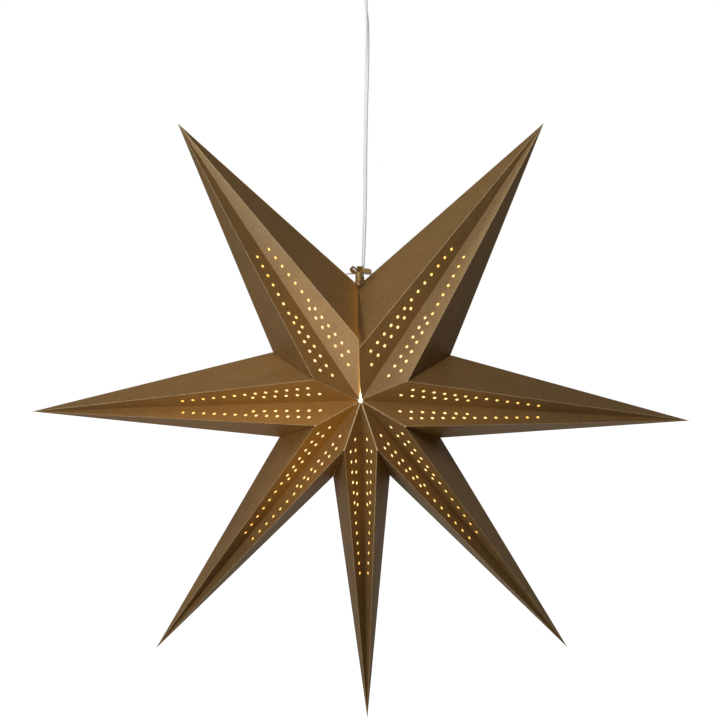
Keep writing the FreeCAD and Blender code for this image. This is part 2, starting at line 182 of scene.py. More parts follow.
def rounded_profile(profile: Sequence[tuple[float, float]], radius: float,
                    steps: int = 4) -> Array:
    """A closed (radius, height) outline with each corner eased by a quadratic curve.

    Each corner B becomes (1-t)^2 A + 2t(1-t) B + t^2 C, with A and C on the two edges, at
    the given radius or a third of the edge from B. A corner on the axis stays sharp.

    Args:
        profile: Corners in order.
        radius: How far along each edge the easing starts.
        steps: Points for each eased corner, less one.

    Returns:
        The eased outline, one row for each point.
    """
    corners = np.array(profile, float)
    before, after = np.roll(corners, 1, axis=0), np.roll(corners, -1, axis=0)
    reach = []
    for other in (before, after):
        length = np.linalg.norm(other - corners, axis=1, keepdims=True)
        share = np.minimum(radius / np.maximum(length, 1e-9), 1 / 3)
        reach.append(corners + (other - corners) * share)
    t = np.linspace(0, 1, steps + 1)[None, :, None]
    eased = quadratic(t, reach[0][:, None], corners[:, None], reach[1][:, None])
    on_axis = corners[:, 0] < 1e-9
    kept = [corners[i][None] if on_axis[i] else eased[i] for i in range(len(corners))]
    return np.concatenate(kept)


def turned_surface(profile: Array, axis_at: Array, sides: int = 64,
                   swell: Callable[[Array, Array], Array] | None = None) -> Surface:
    """Surface turned about an upright axis: (r, h) becomes (r cos a, r sin a, h).

    Args:
        profile: Closed outline of (radius, height) rows, anticlockwise in that plane.
        axis_at: A place on the axis at height zero.
        sides: Steps round the axis.
        swell: What it adds to each radius, from the turn a and the height h.

    Returns:
        The turned surface.
    """
    turn = np.linspace(0, 2 * math.pi, sides, endpoint=False)[None, :]
    radius, height = profile[:, :1], profile[:, 1:]
    if swell is not None:
        radius = np.maximum(radius + swell(turn, height) * (radius > 1e-9), 0.0)
    points = np.stack([radius * np.cos(turn), radius * np.sin(turn), height + 0 * turn], axis=-1)
    points = points.reshape(-1, 3) + axis_at
    faces = grid_faces(len(profile), sides, closed_rows=True, closed_columns=True)[:, ::-1]
    keep_point, number = np.unique(np.round(points / 1e-7).astype(np.int64), axis=0,
                                   return_index=True, return_inverse=True)[1:]
    faces = number.ravel()[faces]
    repeats = [faces[:, i] == faces[:, (i + 1) % 4] for i in range(4)]
    count = sum(same.astype(int) for same in repeats)
    blocks = [faces[count == 0]] + [
        np.delete(faces[(count == 1) & repeats[i]], i, axis=1) for i in range(4)]
    blocks = [block for block in blocks if len(block)]
    return Surface(points[keep_point], blocks, [0] * len(blocks))


def tube_frames(line: Array) -> tuple[Array, Array]:
    """Two directions square to a line at each of its points, turning as little as they can.

    Args:
        line: Points along the line.

    Returns:
        The two directions, each one row for each point.
    """
    along = unit(np.gradient(line, axis=0))
    start = unit(np.cross(along[0], FRONT))
    first = unit(start - along * (along @ start)[:, None])
    return first, np.cross(along, first)


def run_along(line: Array) -> Array:
    """Distance from a line's start to each of its points."""
    return np.concatenate([[0], np.cumsum(np.linalg.norm(np.diff(line, axis=0), axis=1))])


def swept_surface(points: Array, flat: Array) -> Surface:
    """A section carried along a line, closed by a flat face at each end.

    Args:
        points: A grid of places, with a row for each place along the line.
        flat: The flat coordinates of the same grid.

    Returns:
        The closed surface.
    """
    rows, columns = points.shape[:2]
    sides = grid_faces(rows, columns, closed_columns=True)
    ends = np.array([np.arange(columns)[::-1], (rows - 1) * columns + np.arange(columns)])
    return Surface(points.reshape(-1, 3), [sides, ends], [0, 0], flat=flat.reshape(-1, 2))


def tube_surface(line: Array, outline: Array, twist: Array, girth: float) -> Surface:
    """Closed tube: outline point (a, b) at line point P becomes P + a X + b Y.

    X and Y are the line's two square directions, turned about it by the twist there.

    Args:
        line: Points along the middle.
        outline: Section points, anticlockwise.
        twist: Turn of the section at each point of the line, in radians.
        girth: Round the section, for the flat coordinates.

    Returns:
        The tube with flat ends.
    """
    first, second = tube_frames(line)
    c, s = np.cos(twist)[:, None], np.sin(twist)[:, None]
    across, over = first * c + second * s, second * c - first * s
    points = (line[:, None] + outline[None, :, :1] * across[:, None]
              + outline[None, :, 1:] * over[:, None])
    around = np.linspace(0, 1, len(outline), endpoint=False)[None, :] * girth
    flat = np.stack(np.broadcast_arrays(around, run_along(line)[:, None]), axis=-1)
    return swept_surface(points, flat)


def ribbon_surface(line: Array, across: Array, thickness: float) -> Surface:
    """Thin ribbon with rounded edges, carried along a line.

    At line point P with half-width vector W and surface normal N, the section is
    P + u W + v N thickness, with (u, v) round a long flat outline.

    Args:
        line: Points along the ribbon's middle.
        across: Half-width vector at each point.
        thickness: Through the cloth.

    Returns:
        The closed ribbon.
    """
    along = unit(np.gradient(line, axis=0))
    normal = unit(np.cross(along, across))
    u = np.array([-1.0, -0.96, -0.6, 0.0, 0.6, 0.96, 1.0, 0.96, 0.6, 0.0, -0.6, -0.96])
    v = np.array([0.0, -1.0, -0.9, -0.8, -0.9, -1.0, 0.0, 1.0, 0.9, 0.8, 0.9, 1.0])
    v = v * (thickness / 2)
    points = (line[:, None] + u[None, :, None] * across[:, None]
              + v[None, :, None] * normal[:, None])
    width = u[None, :] * np.linalg.norm(across, axis=1)[:, None]
    flat = np.stack(np.broadcast_arrays(width, run_along(line)[:, None]), axis=-1)
    return swept_surface(points, flat)


def joined(parts: Sequence[Surface]) -> Surface:
    """Several surfaces with the same masks as one.

    Args:
        parts: The surfaces.

    Returns:
        One surface, with flat coordinates where every part has them.
    """
    faces, slots, start = [], [], 0
    for part in parts:
        faces += [block + start for block in part.faces]
        slots += part.face_slots
        start += len(part.points)
    flat = None
    if all(part.flat is not None for part in parts):
        flat = np.concatenate([part.flat for part in parts])
    masks = {label: np.concatenate([part.masks[label] for part in parts])
             for label in parts[0].masks}
    return Surface(np.concatenate([part.points for part in parts]), faces, slots, masks, flat)


# Finishes


def add_node(tree: NodeTree, kind: str, inputs: dict | None = None, **settings: object) -> Node:
    """Adds one shader node.

    Args:
        tree: The tree that gets it.
        kind: The node's type name, without its ShaderNode prefix.
        inputs: Values or sockets for its inputs, by name or number.
        settings: The node's own properties.

    Returns:
        The node.
    """
    node = tree.nodes.new("ShaderNode" + kind)
    for label, value in settings.items():
        setattr(node, label, value)
    for key, value in (inputs or {}).items():
        if isinstance(value, NodeSocket):
            tree.links.new(value, node.inputs[key])
        else:
            node.inputs[key].default_value = value
    return node


def math_node(tree: NodeTree, operation: str, *values: object) -> NodeSocket:
    """Result of a Math node on values or sockets."""
    return add_node(tree, "Math", dict(enumerate(values)), operation=operation).outputs[0]


def mix_colour(tree: NodeTree, share: object, first: object, second: object,
               blend: str = "MIX") -> NodeSocket:
    """Result of a colour Mix node: first where share is 0, second where it is 1."""
    node = add_node(tree, "Mix", {0: share, 6: first, 7: second}, data_type="RGBA",
                    blend_type=blend)
    return node.outputs[2]


def colour(red: float, green: float, blue: float) -> tuple[float, float, float, float]:
    """A colour written in 0 to 255 screen values, as linear light.

    Args:
        red: First screen value.
        green: Second screen value.
        blue: Third screen value.

    Returns:
        Linear red, green and blue, and an alpha of one.
    """
    shares = [value / 255 for value in (red, green, blue)]
    light = [v / 12.92 if v <= 0.04045 else ((v + 0.055) / 1.055) ** 2.4 for v in shares]
    return light[0], light[1], light[2], 1.0


def new_group(name: str, inputs: dict[str, float],
              outputs: Sequence[str]) -> tuple[NodeTree, Node, Node]:
    """An empty shader node group with float sockets.

    Args:
        name: The group's name.
        inputs: Default value of each input.
        outputs: Names of the outputs.

    Returns:
        The tree, its input node and its output node.
    """
    tree = bpy.data.node_groups.new(name, "ShaderNodeTree")
    for label, value in inputs.items():
        socket = tree.interface.new_socket(label, in_out="INPUT", socket_type="NodeSocketFloat")
        socket.default_value = value
    for label in outputs:
        tree.interface.new_socket(label, in_out="OUTPUT", socket_type="NodeSocketFloat")
    return tree, tree.nodes.new("NodeGroupInput"), tree.nodes.new("NodeGroupOutput")


def paper_fibre_group() -> NodeTree:
    """Fibre speckle of a dyed card, from its flat coordinates.

    Two layers of noise, stretched in crossed directions, give short fibres, and a broad
    noise gives clouds. Tone is near 1 and multiplies the colour, and Height is for a bump.

    Returns:
        The group's tree.
    """
    tree, given, result = new_group("paper_fibre", {"Fibre": 1.0, "Cloud": 1.0},
                                    ("Tone", "Height"))
    place = add_node(tree, "UVMap", uv_map="flat").outputs[0]
    layers = []
    for angle, stretch in ((0.4, (1.0, 0.3, 1.0)), (1.7, (1.0, 0.36, 1.0))):
        turned = add_node(tree, "Mapping", {"Vector": place, "Rotation": (0, 0, angle),
                                            "Scale": stretch}).outputs[0]
        layers.append(add_node(tree, "TexNoise", {"Vector": turned, "Scale": 620.0, "Detail": 3.0,
                                                  "Roughness": 0.65}).outputs[0])
    fibre = math_node(tree, "ADD", *layers)
    fibre = math_node(tree, "SUBTRACT", fibre, 1.0)
    cloud = add_node(tree, "TexNoise", {"Vector": place, "Scale": 38.0, "Detail": 2.0}).outputs[0]
    cloud = math_node(tree, "SUBTRACT", cloud, 0.5)
    tone = math_node(tree, "MULTIPLY_ADD", fibre, given.outputs["Fibre"], 1.0)
    tone = math_node(tree, "MULTIPLY_ADD", cloud, given.outputs["Cloud"], tone)
    tree.links.new(tone, result.inputs["Tone"])
    tree.links.new(fibre, result.inputs["Height"])
    return tree


def moulded_grain_group() -> NodeTree:
    """Fine grain of a moulded or drawn surface: Tone near 1, Shine to add, and Height.

    Returns:
        The group's tree.
    """
    tree, given, result = new_group("moulded_grain", {"Scale": 400.0, "Depth": 0.05},
                                    ("Tone", "Shine", "Height"))
    place = add_node(tree, "TexCoord").outputs["Object"]
    fine = add_node(tree, "TexNoise", {"Vector": place, "Scale": given.outputs["Scale"],
                                       "Detail": 2.0}).outputs[0]
    fine = math_node(tree, "SUBTRACT", fine, 0.5)
    broad = add_node(tree, "TexNoise", {"Vector": place, "Scale": 30.0}).outputs[0]
    broad = math_node(tree, "SUBTRACT", broad, 0.5)
    depth = given.outputs["Depth"]
    tree.links.new(math_node(tree, "MULTIPLY_ADD", broad, depth, 1.0), result.inputs["Tone"])
    tree.links.new(math_node(tree, "MULTIPLY", broad, depth), result.inputs["Shine"])
    tree.links.new(fine, result.inputs["Height"])
    return tree


def new_material(name: str) -> tuple[NodeTree, Node, Material]:
    """A material whose tree holds only a Principled shader and its output.

    Args:
        name: The material's name.

    Returns:
        The tree, its shader and the material.
    """
    material = bpy.data.materials.new(name)
    material.use_nodes = True
    tree = material.node_tree
    return tree, tree.nodes["Principled BSDF"], material


def set_values(shader: Node, **values: object) -> None:
    """Puts values or links on a shader's inputs.

    Args:
        shader: The shader node.
        values: A value or a socket for each input, whose name has _ for each space.
    """
    for label, value in values.items():
        socket = shader.inputs[label.replace("_", " ")]
        if isinstance(value, NodeSocket):
            shader.id_data.links.new(value, socket)
        else:
            socket.default_value = value


def toned(tree: NodeTree, shade: object, group: Node) -> NodeSocket:
    """A colour times the Tone of a group."""
    return mix_colour(tree, 1.0, shade, group.outputs["Tone"], "MULTIPLY")


def mask(tree: NodeTree, name: str) -> NodeSocket:
    """The per-point value of that name on the mesh."""
    return add_node(tree, "Attribute", attribute_name=name).outputs["Fac"]


@dataclass(frozen=True)
class CardFinish:
    """Dyed fibre card with a satin face, worn pale along its ridge folds, and painted highlight on
    some strips.
    """

    name: str = "bronze_card"
    face: tuple[float, ...] = colour(120, 93, 57)
    worn: tuple[float, ...] = colour(205, 184, 150)
    glow: tuple[float, ...] = (1.0, 0.36, 0.02, 1.0)
    halo: tuple[float, ...] = (1.0, 0.68, 0.1, 1.0)
    fibre: float = 0.55
    cloud: float = 0.28
    # painted highlight: the paler colour that some strips take in place of satin sheen
    painted_highlight: tuple[float, ...] = colour(158, 132, 96)
    roughness: float = 0.5
    gloss: float = 0.004
    pearl: float = 0.11
    patchiness: float = 1.2

    def build(self, fibres: NodeTree) -> Material:
        """The outer face: fibres, worn folds, painted satin highlight, light through the card and
        round the holes.

        Args:
            fibres: The fibre group.

        Returns:
            The material.
        """
        tree, shader, material = new_material(self.name)
        group = add_node(tree, "Group", {"Fibre": self.fibre, "Cloud": self.cloud},
                         node_tree=fibres)
        # painted highlight: the mask paints some strips a paler colour in place of satin sheen
        face_with_painted_highlight = mix_colour(tree, mask(tree, "painted_satin_highlight"), self.face, self.painted_highlight)
        tone = toned(tree, face_with_painted_highlight, group)
        wear = mask(tree, "fold_wear")
        patchy = math_node(tree, "MULTIPLY_ADD", group.outputs["Height"], self.patchiness, wear)
        patchy = add_node(tree, "MapRange", {0: patchy, 1: 0.1, 2: 0.75}).outputs[0]
        worn = math_node(tree, "MULTIPLY", wear, patchy)
        bump = add_node(tree, "Bump", {"Height": group.outputs["Height"], "Strength": 0.16,
                                       "Distance": 0.25 * MM})
        through = math_node(tree, "MULTIPLY", mask(tree, "light_through"), group.outputs["Tone"])
        lit = mix_colour(tree, 1.0, mix_colour(tree, through, BLACK, self.glow),
                         mix_colour(tree, mask(tree, "hole_halo"), BLACK, self.halo), "ADD")
        set_values(shader, Base_Color=mix_colour(tree, worn, tone, self.worn),
                   Roughness=self.roughness, Specular_IOR_Level=self.gloss,
                   Metallic=self.pearl, Normal=bump.outputs[0], Emission_Color=lit,
                   Emission_Strength=1.0)
        return material


@dataclass(frozen=True)
class LitInsideFinish:
    """Inside of the card or its cut edge, lit by the bulb: warmer and dimmer with distance."""

    name: str
    face: tuple[float, ...] = colour(196, 170, 128)
    strength: float = 1.0
    fibre: float = 0.4
    ramp: tuple[tuple[float, tuple[float, ...]], ...] = (
        (0.0, (0.10, 0.03, 0.004, 1)), (0.25, (0.62, 0.25, 0.03, 1)),
        (0.5, (1.0, 0.56, 0.10, 1)), (0.8, (1.0, 0.82, 0.36, 1)),
        (1.0, (1.0, 0.93, 0.62, 1)))

    def build(self, fibres: NodeTree) -> Material:
        """Emission from a warm ramp on the light that reaches the place.

        Args:
            fibres: The fibre group.

        Returns:
            The material.
        """
        tree, shader, material = new_material(self.name)
        group = add_node(tree, "Group", {"Fibre": self.fibre}, node_tree=fibres)
        light = math_node(tree, "MULTIPLY", mask(tree, "inside_light"), group.outputs["Tone"])
        ramp = add_node(tree, "ValToRGB", {0: light})
        for number, (position, shade) in enumerate(self.ramp):
            points = ramp.color_ramp.elements
            stop = points[number] if number < 2 else points.new(position)
            stop.position, stop.color = position, shade
        set_values(shader, Base_Color=toned(tree, self.face, group), Roughness=0.8,
                   Emission_Color=ramp.outputs[0], Emission_Strength=self.strength)
        return material


@dataclass(frozen=True)
class OpalGlassFinish:
    """Opal bulb glass, lit from within."""

    name: str = "lit_opal_glass"
    warm: tuple[float, ...] = (1.0, 0.86, 0.55, 1.0)
    strength: float = 2.2
    unevenness: float = 0.15

    def build(self, grain: NodeTree) -> Material:
        """Emission that is a little uneven, as a filament behind opal glass gives.

        Args:
            grain: The grain group.

        Returns:
            The material.
        """
        tree, shader, material = new_material(self.name)
        group = add_node(tree, "Group", {"Depth": self.unevenness}, node_tree=grain)
        set_values(shader, Base_Color=colour(250, 240, 220), Roughness=0.12,
                   Emission_Color=toned(tree, self.warm, group),
                   Emission_Strength=self.strength)
        return material


@dataclass(frozen=True)
class MouldedFinish:
    """Plastic, ceramic or another moulded finish, with a fine grain."""

    name: str
    face: tuple[float, ...]
    roughness: float
    grain: float = 0.05
    scale: float = 400.0
    bump: float = 0.04

    def build(self, grain: NodeTree) -> Material:
        """Colour, roughness and a shallow bump from the shared grain.

        Args:
            grain: The grain group.

        Returns:
            The material.
        """
        tree, shader, material = new_material(self.name)
        group = add_node(tree, "Group", {"Depth": self.grain, "Scale": self.scale},
                         node_tree=grain)
        bump = add_node(tree, "Bump", {"Height": group.outputs["Height"], "Strength": self.bump,
                                       "Distance": 0.2 * MM})
        set_values(shader, Base_Color=toned(tree, self.face, group), Normal=bump.outputs[0],
                   Roughness=math_node(tree, "ADD", group.outputs["Shine"], self.roughness))
        return material


@dataclass(frozen=True)
class BrassFinish:
    """Thin rolled brass with a light tarnish."""

    name: str = "rolled_brass"
    bright: tuple[float, ...] = colour(214, 178, 104)
    tarnish: tuple[float, ...] = colour(150, 112, 58)
    roughness: float = 0.28

    def build(self, grain: NodeTree) -> Material:
        """Metal whose tarnish follows a broad noise.

        Args:
            grain: The grain group.

        Returns:
            The material.
        """
        tree, shader, material = new_material(self.name)
        group = add_node(tree, "Group", node_tree=grain)
        place = add_node(tree, "TexCoord").outputs["Object"]
        patch = add_node(tree, "TexNoise", {"Vector": place, "Scale": 220.0}).outputs[0]
        patch = add_node(tree, "MapRange", {0: patch, 1: 0.45, 2: 0.7}).outputs[0]
        set_values(shader, Base_Color=mix_colour(tree, patch, self.bright, self.tarnish),
                   Roughness=math_node(tree, "ADD", group.outputs["Shine"], self.roughness),
                   Metallic=1.0)
        return material


@dataclass(frozen=True)
class SatinRibbonFinish:
    """Gold-brown satin ribbon: a fine weave across its width."""

    name: str = "satin_ribbon"
    thread: tuple[float, ...] = colour(168, 134, 74)
    gap: tuple[float, ...] = colour(92, 68, 30)

    def build(self) -> Material:
        """Weave from two crossed waves on the ribbon's flat coordinates.

        Returns:
            The material.
        """
        tree, shader, material = new_material(self.name)
        place = add_node(tree, "UVMap", uv_map="flat").outputs[0]
        warp = add_node(tree, "TexWave", {"Vector": place, "Scale": 420.0, "Distortion": 0.6},
                        bands_direction="X").outputs["Fac"]
        weft = add_node(tree, "TexWave", {"Vector": place, "Scale": 260.0, "Distortion": 0.8},
                        bands_direction="Y").outputs["Fac"]
        weave = math_node(tree, "MULTIPLY_ADD", weft, 0.6, math_node(tree, "MULTIPLY", warp, 0.4))
        bump = add_node(tree, "Bump", {"Height": weave, "Strength": 0.3, "Distance": 0.1 * MM})
        set_values(shader, Base_Color=mix_colour(tree, weave, self.gap, self.thread),
                   Roughness=0.36, Metallic=0.35, Sheen_Weight=0.4, Sheen_Roughness=0.3,
                   Normal=bump.outputs[0])
        return material


@dataclass
class Finishes:
    """Every material of the lantern, built once."""

    fibres: NodeTree = field(default_factory=paper_fibre_group)
    grain: NodeTree = field(default_factory=moulded_grain_group)

    def __post_init__(self) -> None:
        """Builds the materials from their finishes."""
        fibres, grain = self.fibres, self.grain
        self.card = CardFinish().build(fibres)
        self.card_inside = LitInsideFinish("card_inside").build(fibres)
        self.card_edge = LitInsideFinish("card_cut_edge", colour(150, 120, 80), 0.8).build(fibres)
        self.glass = OpalGlassFinish().build(grain)
        self.holder = MouldedFinish("holder_plastic_white", colour(226, 224, 216), 0.3).build(grain)
        self.ceramic = MouldedFinish("contact_ceramic", colour(222, 216, 202), 0.6, 0.1).build(grain)
        self.brass = BrassFinish().build(grain)
        self.flex = MouldedFinish("flex_plastic", colour(232, 234, 237), 0.42, 0.06, 260.0,
                                  0.06).build(grain)
        self.black_glass = MouldedFinish("insulator_black_glass", colour(24, 22, 22),
                                         0.15).build(grain)
        self.solder = MouldedFinish("solder_tip", colour(168, 168, 164), 0.35, 0.2, 900.0,
                                    0.2).build(grain)
        self.ribbon = SatinRibbonFinish().build()
        self.ceiling = MouldedFinish("ceiling_plastic_white", colour(224, 224, 222), 0.4, 0.04,
                                     700.0, 0.1).build(grain)


# Star


@dataclass(frozen=True)
class PointPlan:
    """One card point: its share of the turn, and where its tip and first notch are.

    The tip leans from the middle of its share by so many degrees, and reach and notch are
    radii in millimetres. Glow is for its first and its second front strip: light through the
    card, out to the radius carry. The painted highlight is for the same two strips: a paler
    colour painted in place of satin sheen. The seed is for its bow.
    """

    node: str
    share: float
    lean: float
    reach: float
    notch: float
    glow: tuple[float, float]
    seed: int
    # painted highlight on the first and second front strip: a paler colour in place of satin sheen
    painted_highlight: tuple[float, float] = (0.0, 0.0)
    carry: float = 0.24


@dataclass(frozen=True)
class HoleRow:
    """A row of punched holes: along the valley fold from the tip, and off the fold."""

    start: float
    off: float
    pitch: float
    angle: float
    count: int

    def centres(self) -> Array:
        """Holes as (along, off) rows: a straight row at a small angle to the fold.

        Returns:
            One row for each hole.
        """
        step = self.pitch * np.arange(self.count)
        slope = math.radians(self.angle)
        return np.stack([self.start + step * math.cos(slope),
                         self.off + step * math.sin(slope)], axis=1)


@dataclass(frozen=True)
class Seam:
    """A radial plane where two cards meet, with its notch, its two ridge ends and its centre."""

    azimuth: float
    notch: Array
    ridge: Array
    centre: Array

    @property
    def onwards(self) -> Array:
        """Direction square to the seam's plane, anticlockwise round the star."""
        angle = math.radians(self.azimuth + 90)
        return np.array([math.cos(angle), 0.0, math.sin(angle)])

    @staticmethod
    def at(azimuth: float, notch_radius: float, base_fold: float, inner_fold: float,
           depth: float) -> "Seam":
        """Seam whose ridge end lies base_fold from the notch and inner_fold from the centre.

        In the seam's plane the two circles about the notch and the centre meet at the ridge
        end, which is found along and off the line between them.

        Args:
            azimuth: Of the plane, in degrees anticlockwise from the right.
            notch_radius: From the axis to the notch.
            base_fold: Notch to ridge end.
            inner_fold: Ridge end to centre.
            depth: Of the centre in front of the mid plane.

        Returns:
            The seam.
        """
        gap = math.hypot(notch_radius, depth)
        along = (base_fold ** 2 - inner_fold ** 2 + gap ** 2) / (2 * gap)
        off = math.sqrt(base_fold ** 2 - along ** 2)
        inwards, forwards = -notch_radius / gap, depth / gap
        ridge = (notch_radius + along * inwards + off * forwards, along * forwards - off * inwards)
        return Seam(azimuth, at_star(notch_radius, azimuth, 0.0),
                    at_star(ridge[0], azimuth, ridge[1]), at_star(0.0, azimuth, depth))


def at_star(radius: float, azimuth: float, depth: float) -> Array:
    """Place at a radius and azimuth about the star's axis, at a depth to the front."""
    angle = math.radians(azimuth)
    return STAR_MIDDLE + np.array([radius * math.cos(angle), -depth, radius * math.sin(angle)])


def to_back(place: Array) -> Array:
    """The same place on the back half of the star."""
    return place * np.array([1.0, -1.0, 1.0])


@dataclass
class CardPoint:
    """One card, scored flat and folded into a hollow point.

    The card is a fan of eight flat panels about the tip. In the flat, a place is at a
    distance rho from the tip and an angle theta round it. Folded, the same place is at
    tip + rho D(theta), where D runs along great circles between the directions of the
    eight folds, so no panel stretches. Past its base folds the card turns into glue tabs.
    """

    plan: PointPlan
    tip: Array
    start: Seam
    end: Seam
    loose: LooseEdge
    rows: tuple[HoleRow, ...]
    neighbour: Array
    card: float = 0.45 * MM
    fold_half_width: float = 0.65 * MM
    bow: float = 0.45 * MM
    hole_radius: float = 1.6 * MM
    hole_sides: int = 20
    halo_width: float = 1.3 * MM
    tab: float = 9.0 * MM
    tab_mitre: float = 42.0
    tab_inset: float = 0.3 * MM
    trim: float = 2.6 * MM
    slit: tuple[tuple[float, float], ...] = ((10.5, 0.05), (8.7, 0.4), (7.8, 1.1), (4.5, 1.5),
                                             (2.6, 1.6))
    lap: tuple[tuple[float, float], ...] = ((0.04, 0.3), (0.15, 0.6), (0.35, 1.3), (0.5, 1.8),
                                            (0.58, 1.7), (0.66, 0.9), (0.7, 0.2))
    lap_lift: float = 0.3 * MM
    lap_run: float = 6.0 * MM
    short: float = 1.6 * MM
    short_run: float = 4.0 * MM
    lip: float = 8.0 * MM
    seam_gap: float = 0.03 * MM
    joint_gap: float = 0.1 * MM
    gap_run: float = 1.5 * MM
    seam_lean: float = 0.07
    cell: float = 7.0 * MM
    sheet: float = 0.42
    tip_clear: float = 25.0 * MM
    fold_clear: float = 2.6 * MM
    base_clear: float = 2.4 * MM
    halo_clear: float = 1.2 * MM
    ridge_wear: float = 0.9
    edge_wear: float = 0.1
    silhouette_wear: float = 0.6
    lip_glow: float = 0.11
    slit_glow: float = 0.9
    side_glow: float = 0.35
    glow_near: float = 75.0 * MM
    inside_bright: float = 1.12
    inside_near: float = 70.0 * MM
    inside_fall: float = 240.0 * MM
    halo_least: float = 0.03
    halo_gain: float = 0.25
    halo_near: float = 90.0 * MM
    halo_far: float = 240.0 * MM
    long_wave: float = 27.0 * MM
    short_wave: float = 12.5 * MM

    def __post_init__(self) -> None:
        """Lays the eight folds out round the tip."""
        self.ends = np.array([self.start.notch, self.start.ridge, self.start.centre,
                              self.end.ridge, self.end.notch, to_back(self.end.ridge),
                              to_back(self.start.centre), to_back(self.start.ridge)])
        self.reach = np.linalg.norm(self.ends - self.tip, axis=1)
        self.folds = unit(self.ends - self.tip)
        following = np.roll(self.folds, -1, axis=0)
        cosine = np.sum(self.folds * following, axis=1)
        self.wide = np.arccos(cosine)
        self.turn = np.concatenate([[0.0], np.cumsum(self.wide)])
        self.square = unit(following - self.folds * cosine[:, None])
        inside = self.tip + (STAR_MIDDLE - self.tip) * 0.5
        self.normals = np.cross(self.folds, self.square)
        outwards = np.sign(np.sum(self.normals * (self.tip - inside), axis=1))
        self.handed = 1.0 if np.sum(outwards) >= 0 else -1.0

    # Flat layout

    def flat_place(self, rho: Array, theta: Array) -> Array:
        """Flat coordinates of places at a distance and an angle from the tip."""
        return np.stack([rho * np.cos(theta), rho * np.sin(theta)], axis=-1)

    def corner(self, fold: int) -> Array:
        """Flat place where a fold meets the base, counting the closing edge as fold 8."""
        return self.flat_place(self.reach[fold % 8], self.turn[fold])

    def polar(self, flat: Array) -> tuple[Array, Array]:
        """Distance and angle of flat places round the tip."""
        angle = np.arctan2(flat[:, 1], flat[:, 0])
        return np.linalg.norm(flat, axis=1), np.clip(angle, 0.0, self.turn[8])

    def panel_at(self, theta: Array) -> Array:
        """Number of the panel at a flat angle."""
        return np.clip(np.searchsorted(self.turn, theta, side="right") - 1, 0, 7)

    def base_edge(self, panel: int) -> tuple[Array, Array, Array]:
        """A panel's base line in the flat.

        Args:
            panel: The panel's number.

        Returns:
            The line's start, its unit direction and its outward normal.
        """
        start, stop = self.corner(panel), self.corner(panel + 1)
        along = (stop - start) / np.linalg.norm(stop - start)
        outward = np.array([along[1], -along[0]])
        return start, along, outward if outward @ start >= 0 else -outward

    def tab_outline(self, panel: int) -> list[Array]:
        """A glue tab past one base line, mitred at both ends and cut short at the centre.

        Args:
            panel: The panel's number.

        Returns:
            The tab's flat corners in order, or the line of the lap in its place.
        """
        start, along, outward = self.base_edge(panel)
        length = np.linalg.norm(self.corner(panel + 1) - start)
        if self.laps(panel):
            edge = [start + along * length * (share if panel == 1 else 1 - share)
                    + outward * past * MM for share, past in self.lap]
            return edge if panel == 1 else edge[::-1]
        depth = self.lip if self.crease(panel) else self.tab
        mitre = depth / math.tan(math.radians(self.tab_mitre))
        slit = self.slit[0][0] * MM if self.slit_on(panel) else self.trim
        near = slit if panel in (2, 6) else self.tab_inset
        far = length - (slit if panel in (1, 5) else self.tab_inset)
        return [start + along * near, start + along * (near + mitre) + outward * depth,
                start + along * (far - mitre) + outward * depth, start + along * far]

    def slit_on(self, panel: int) -> bool:
        """Whether a panel's base edge is the loose edge of the open joint."""
        return panel in {LooseEdge.START: (1, 6), LooseEdge.END: (2, 5)}.get(self.loose, ())

    def laps(self, panel: int) -> bool:
        """Whether a panel's base edge runs on over its neighbour in place of a glue tab."""
        return self.loose is LooseEdge.START and panel in (1, 6)

    def crease(self, panel: int) -> float:
        """How far short of its base line a side panel turns in at the open joint."""
        return self.short if self.loose is LooseEdge.START and panel in (0, 7) else 0.0

    def runs_on(self, panel: int) -> bool:
        """Whether a side panel runs straight on behind its neighbour at the open joint."""
        return self.loose is LooseEdge.END and panel in (3, 4)

    def outline(self) -> Array:
        """Closed flat outline: the tip, the base with its tabs, and the closing edge.

        Returns:
            The outline's corners in order.
        """
        points: list[Array] = [np.zeros(2)]
        for panel in range(8):
            if panel in (0, 1, 3, 4, 5, 7):
                points.append(self.corner(panel))
            tab = self.tab_outline(panel)
            if panel in (1, 5):
                points += tab + self.beak(panel)
            elif panel in (2, 6):
                points += self.beak(panel) + tab
            else:
                points += tab
        points.append(self.corner(8))
        return np.array(points)

    def beak(self, panel: int) -> list[Array]:
        """The card's end at the centre opening: short of the axis, narrowed by the slit.

        Args:
            panel: The panel's number.

        Returns:
            The flat corners between this panel's tab and the valley fold.
        """
        fold = 2 if panel < 4 else 6
        _, along, outward = self.base_edge(panel)
        end = self.corner(fold) * (1 - self.trim / self.reach[fold])
        away = -1.0 if panel in (1, 5) else 1.0
        cuts = self.slit if self.slit_on(panel) else ((self.trim / MM, 0.0),)
        edge = [self.corner(fold) + along * away * apart * MM - outward * cut * MM
                for apart, cut in cuts]
        return edge + [end] if panel in (1, 5) else edge[::-1]

    def fold_lines(self) -> list[Array]:
        """Flat lines along every fold, at steps across its rounding.

        Returns:
            The lines' places, from the tip outwards.
        """
        near_tip = np.geomspace(2.5 * MM, 40 * MM, 14)
        rho = np.concatenate([near_tip, [0.07, 0.11, 0.16, 0.21, 0.26, 0.31, 0.36, 0.41]])
        lines = []
        for fold in range(9):
            reach = self.reach[fold % 8] + 0.4 * MM
            used = np.append(rho[rho < reach - 4 * MM], reach)
            half = self.half_angle(used, fold % 8)
            for step in FOLD_STEPS:
                if (fold == 0 and step < 0) or (fold == 8 and step > 0):
                    continue
                lines.append(self.flat_place(used, self.turn[fold] + step * half))
        return lines

    def half_angle(self, rho: Array, fold: int) -> Array:
        """Half the angle that a fold's rounding takes at a distance from the tip."""
        narrow = min(self.wide[fold], self.wide[fold - 1])
        return np.minimum(self.fold_half_width / np.maximum(rho, 1e-6), 0.22 * narrow)

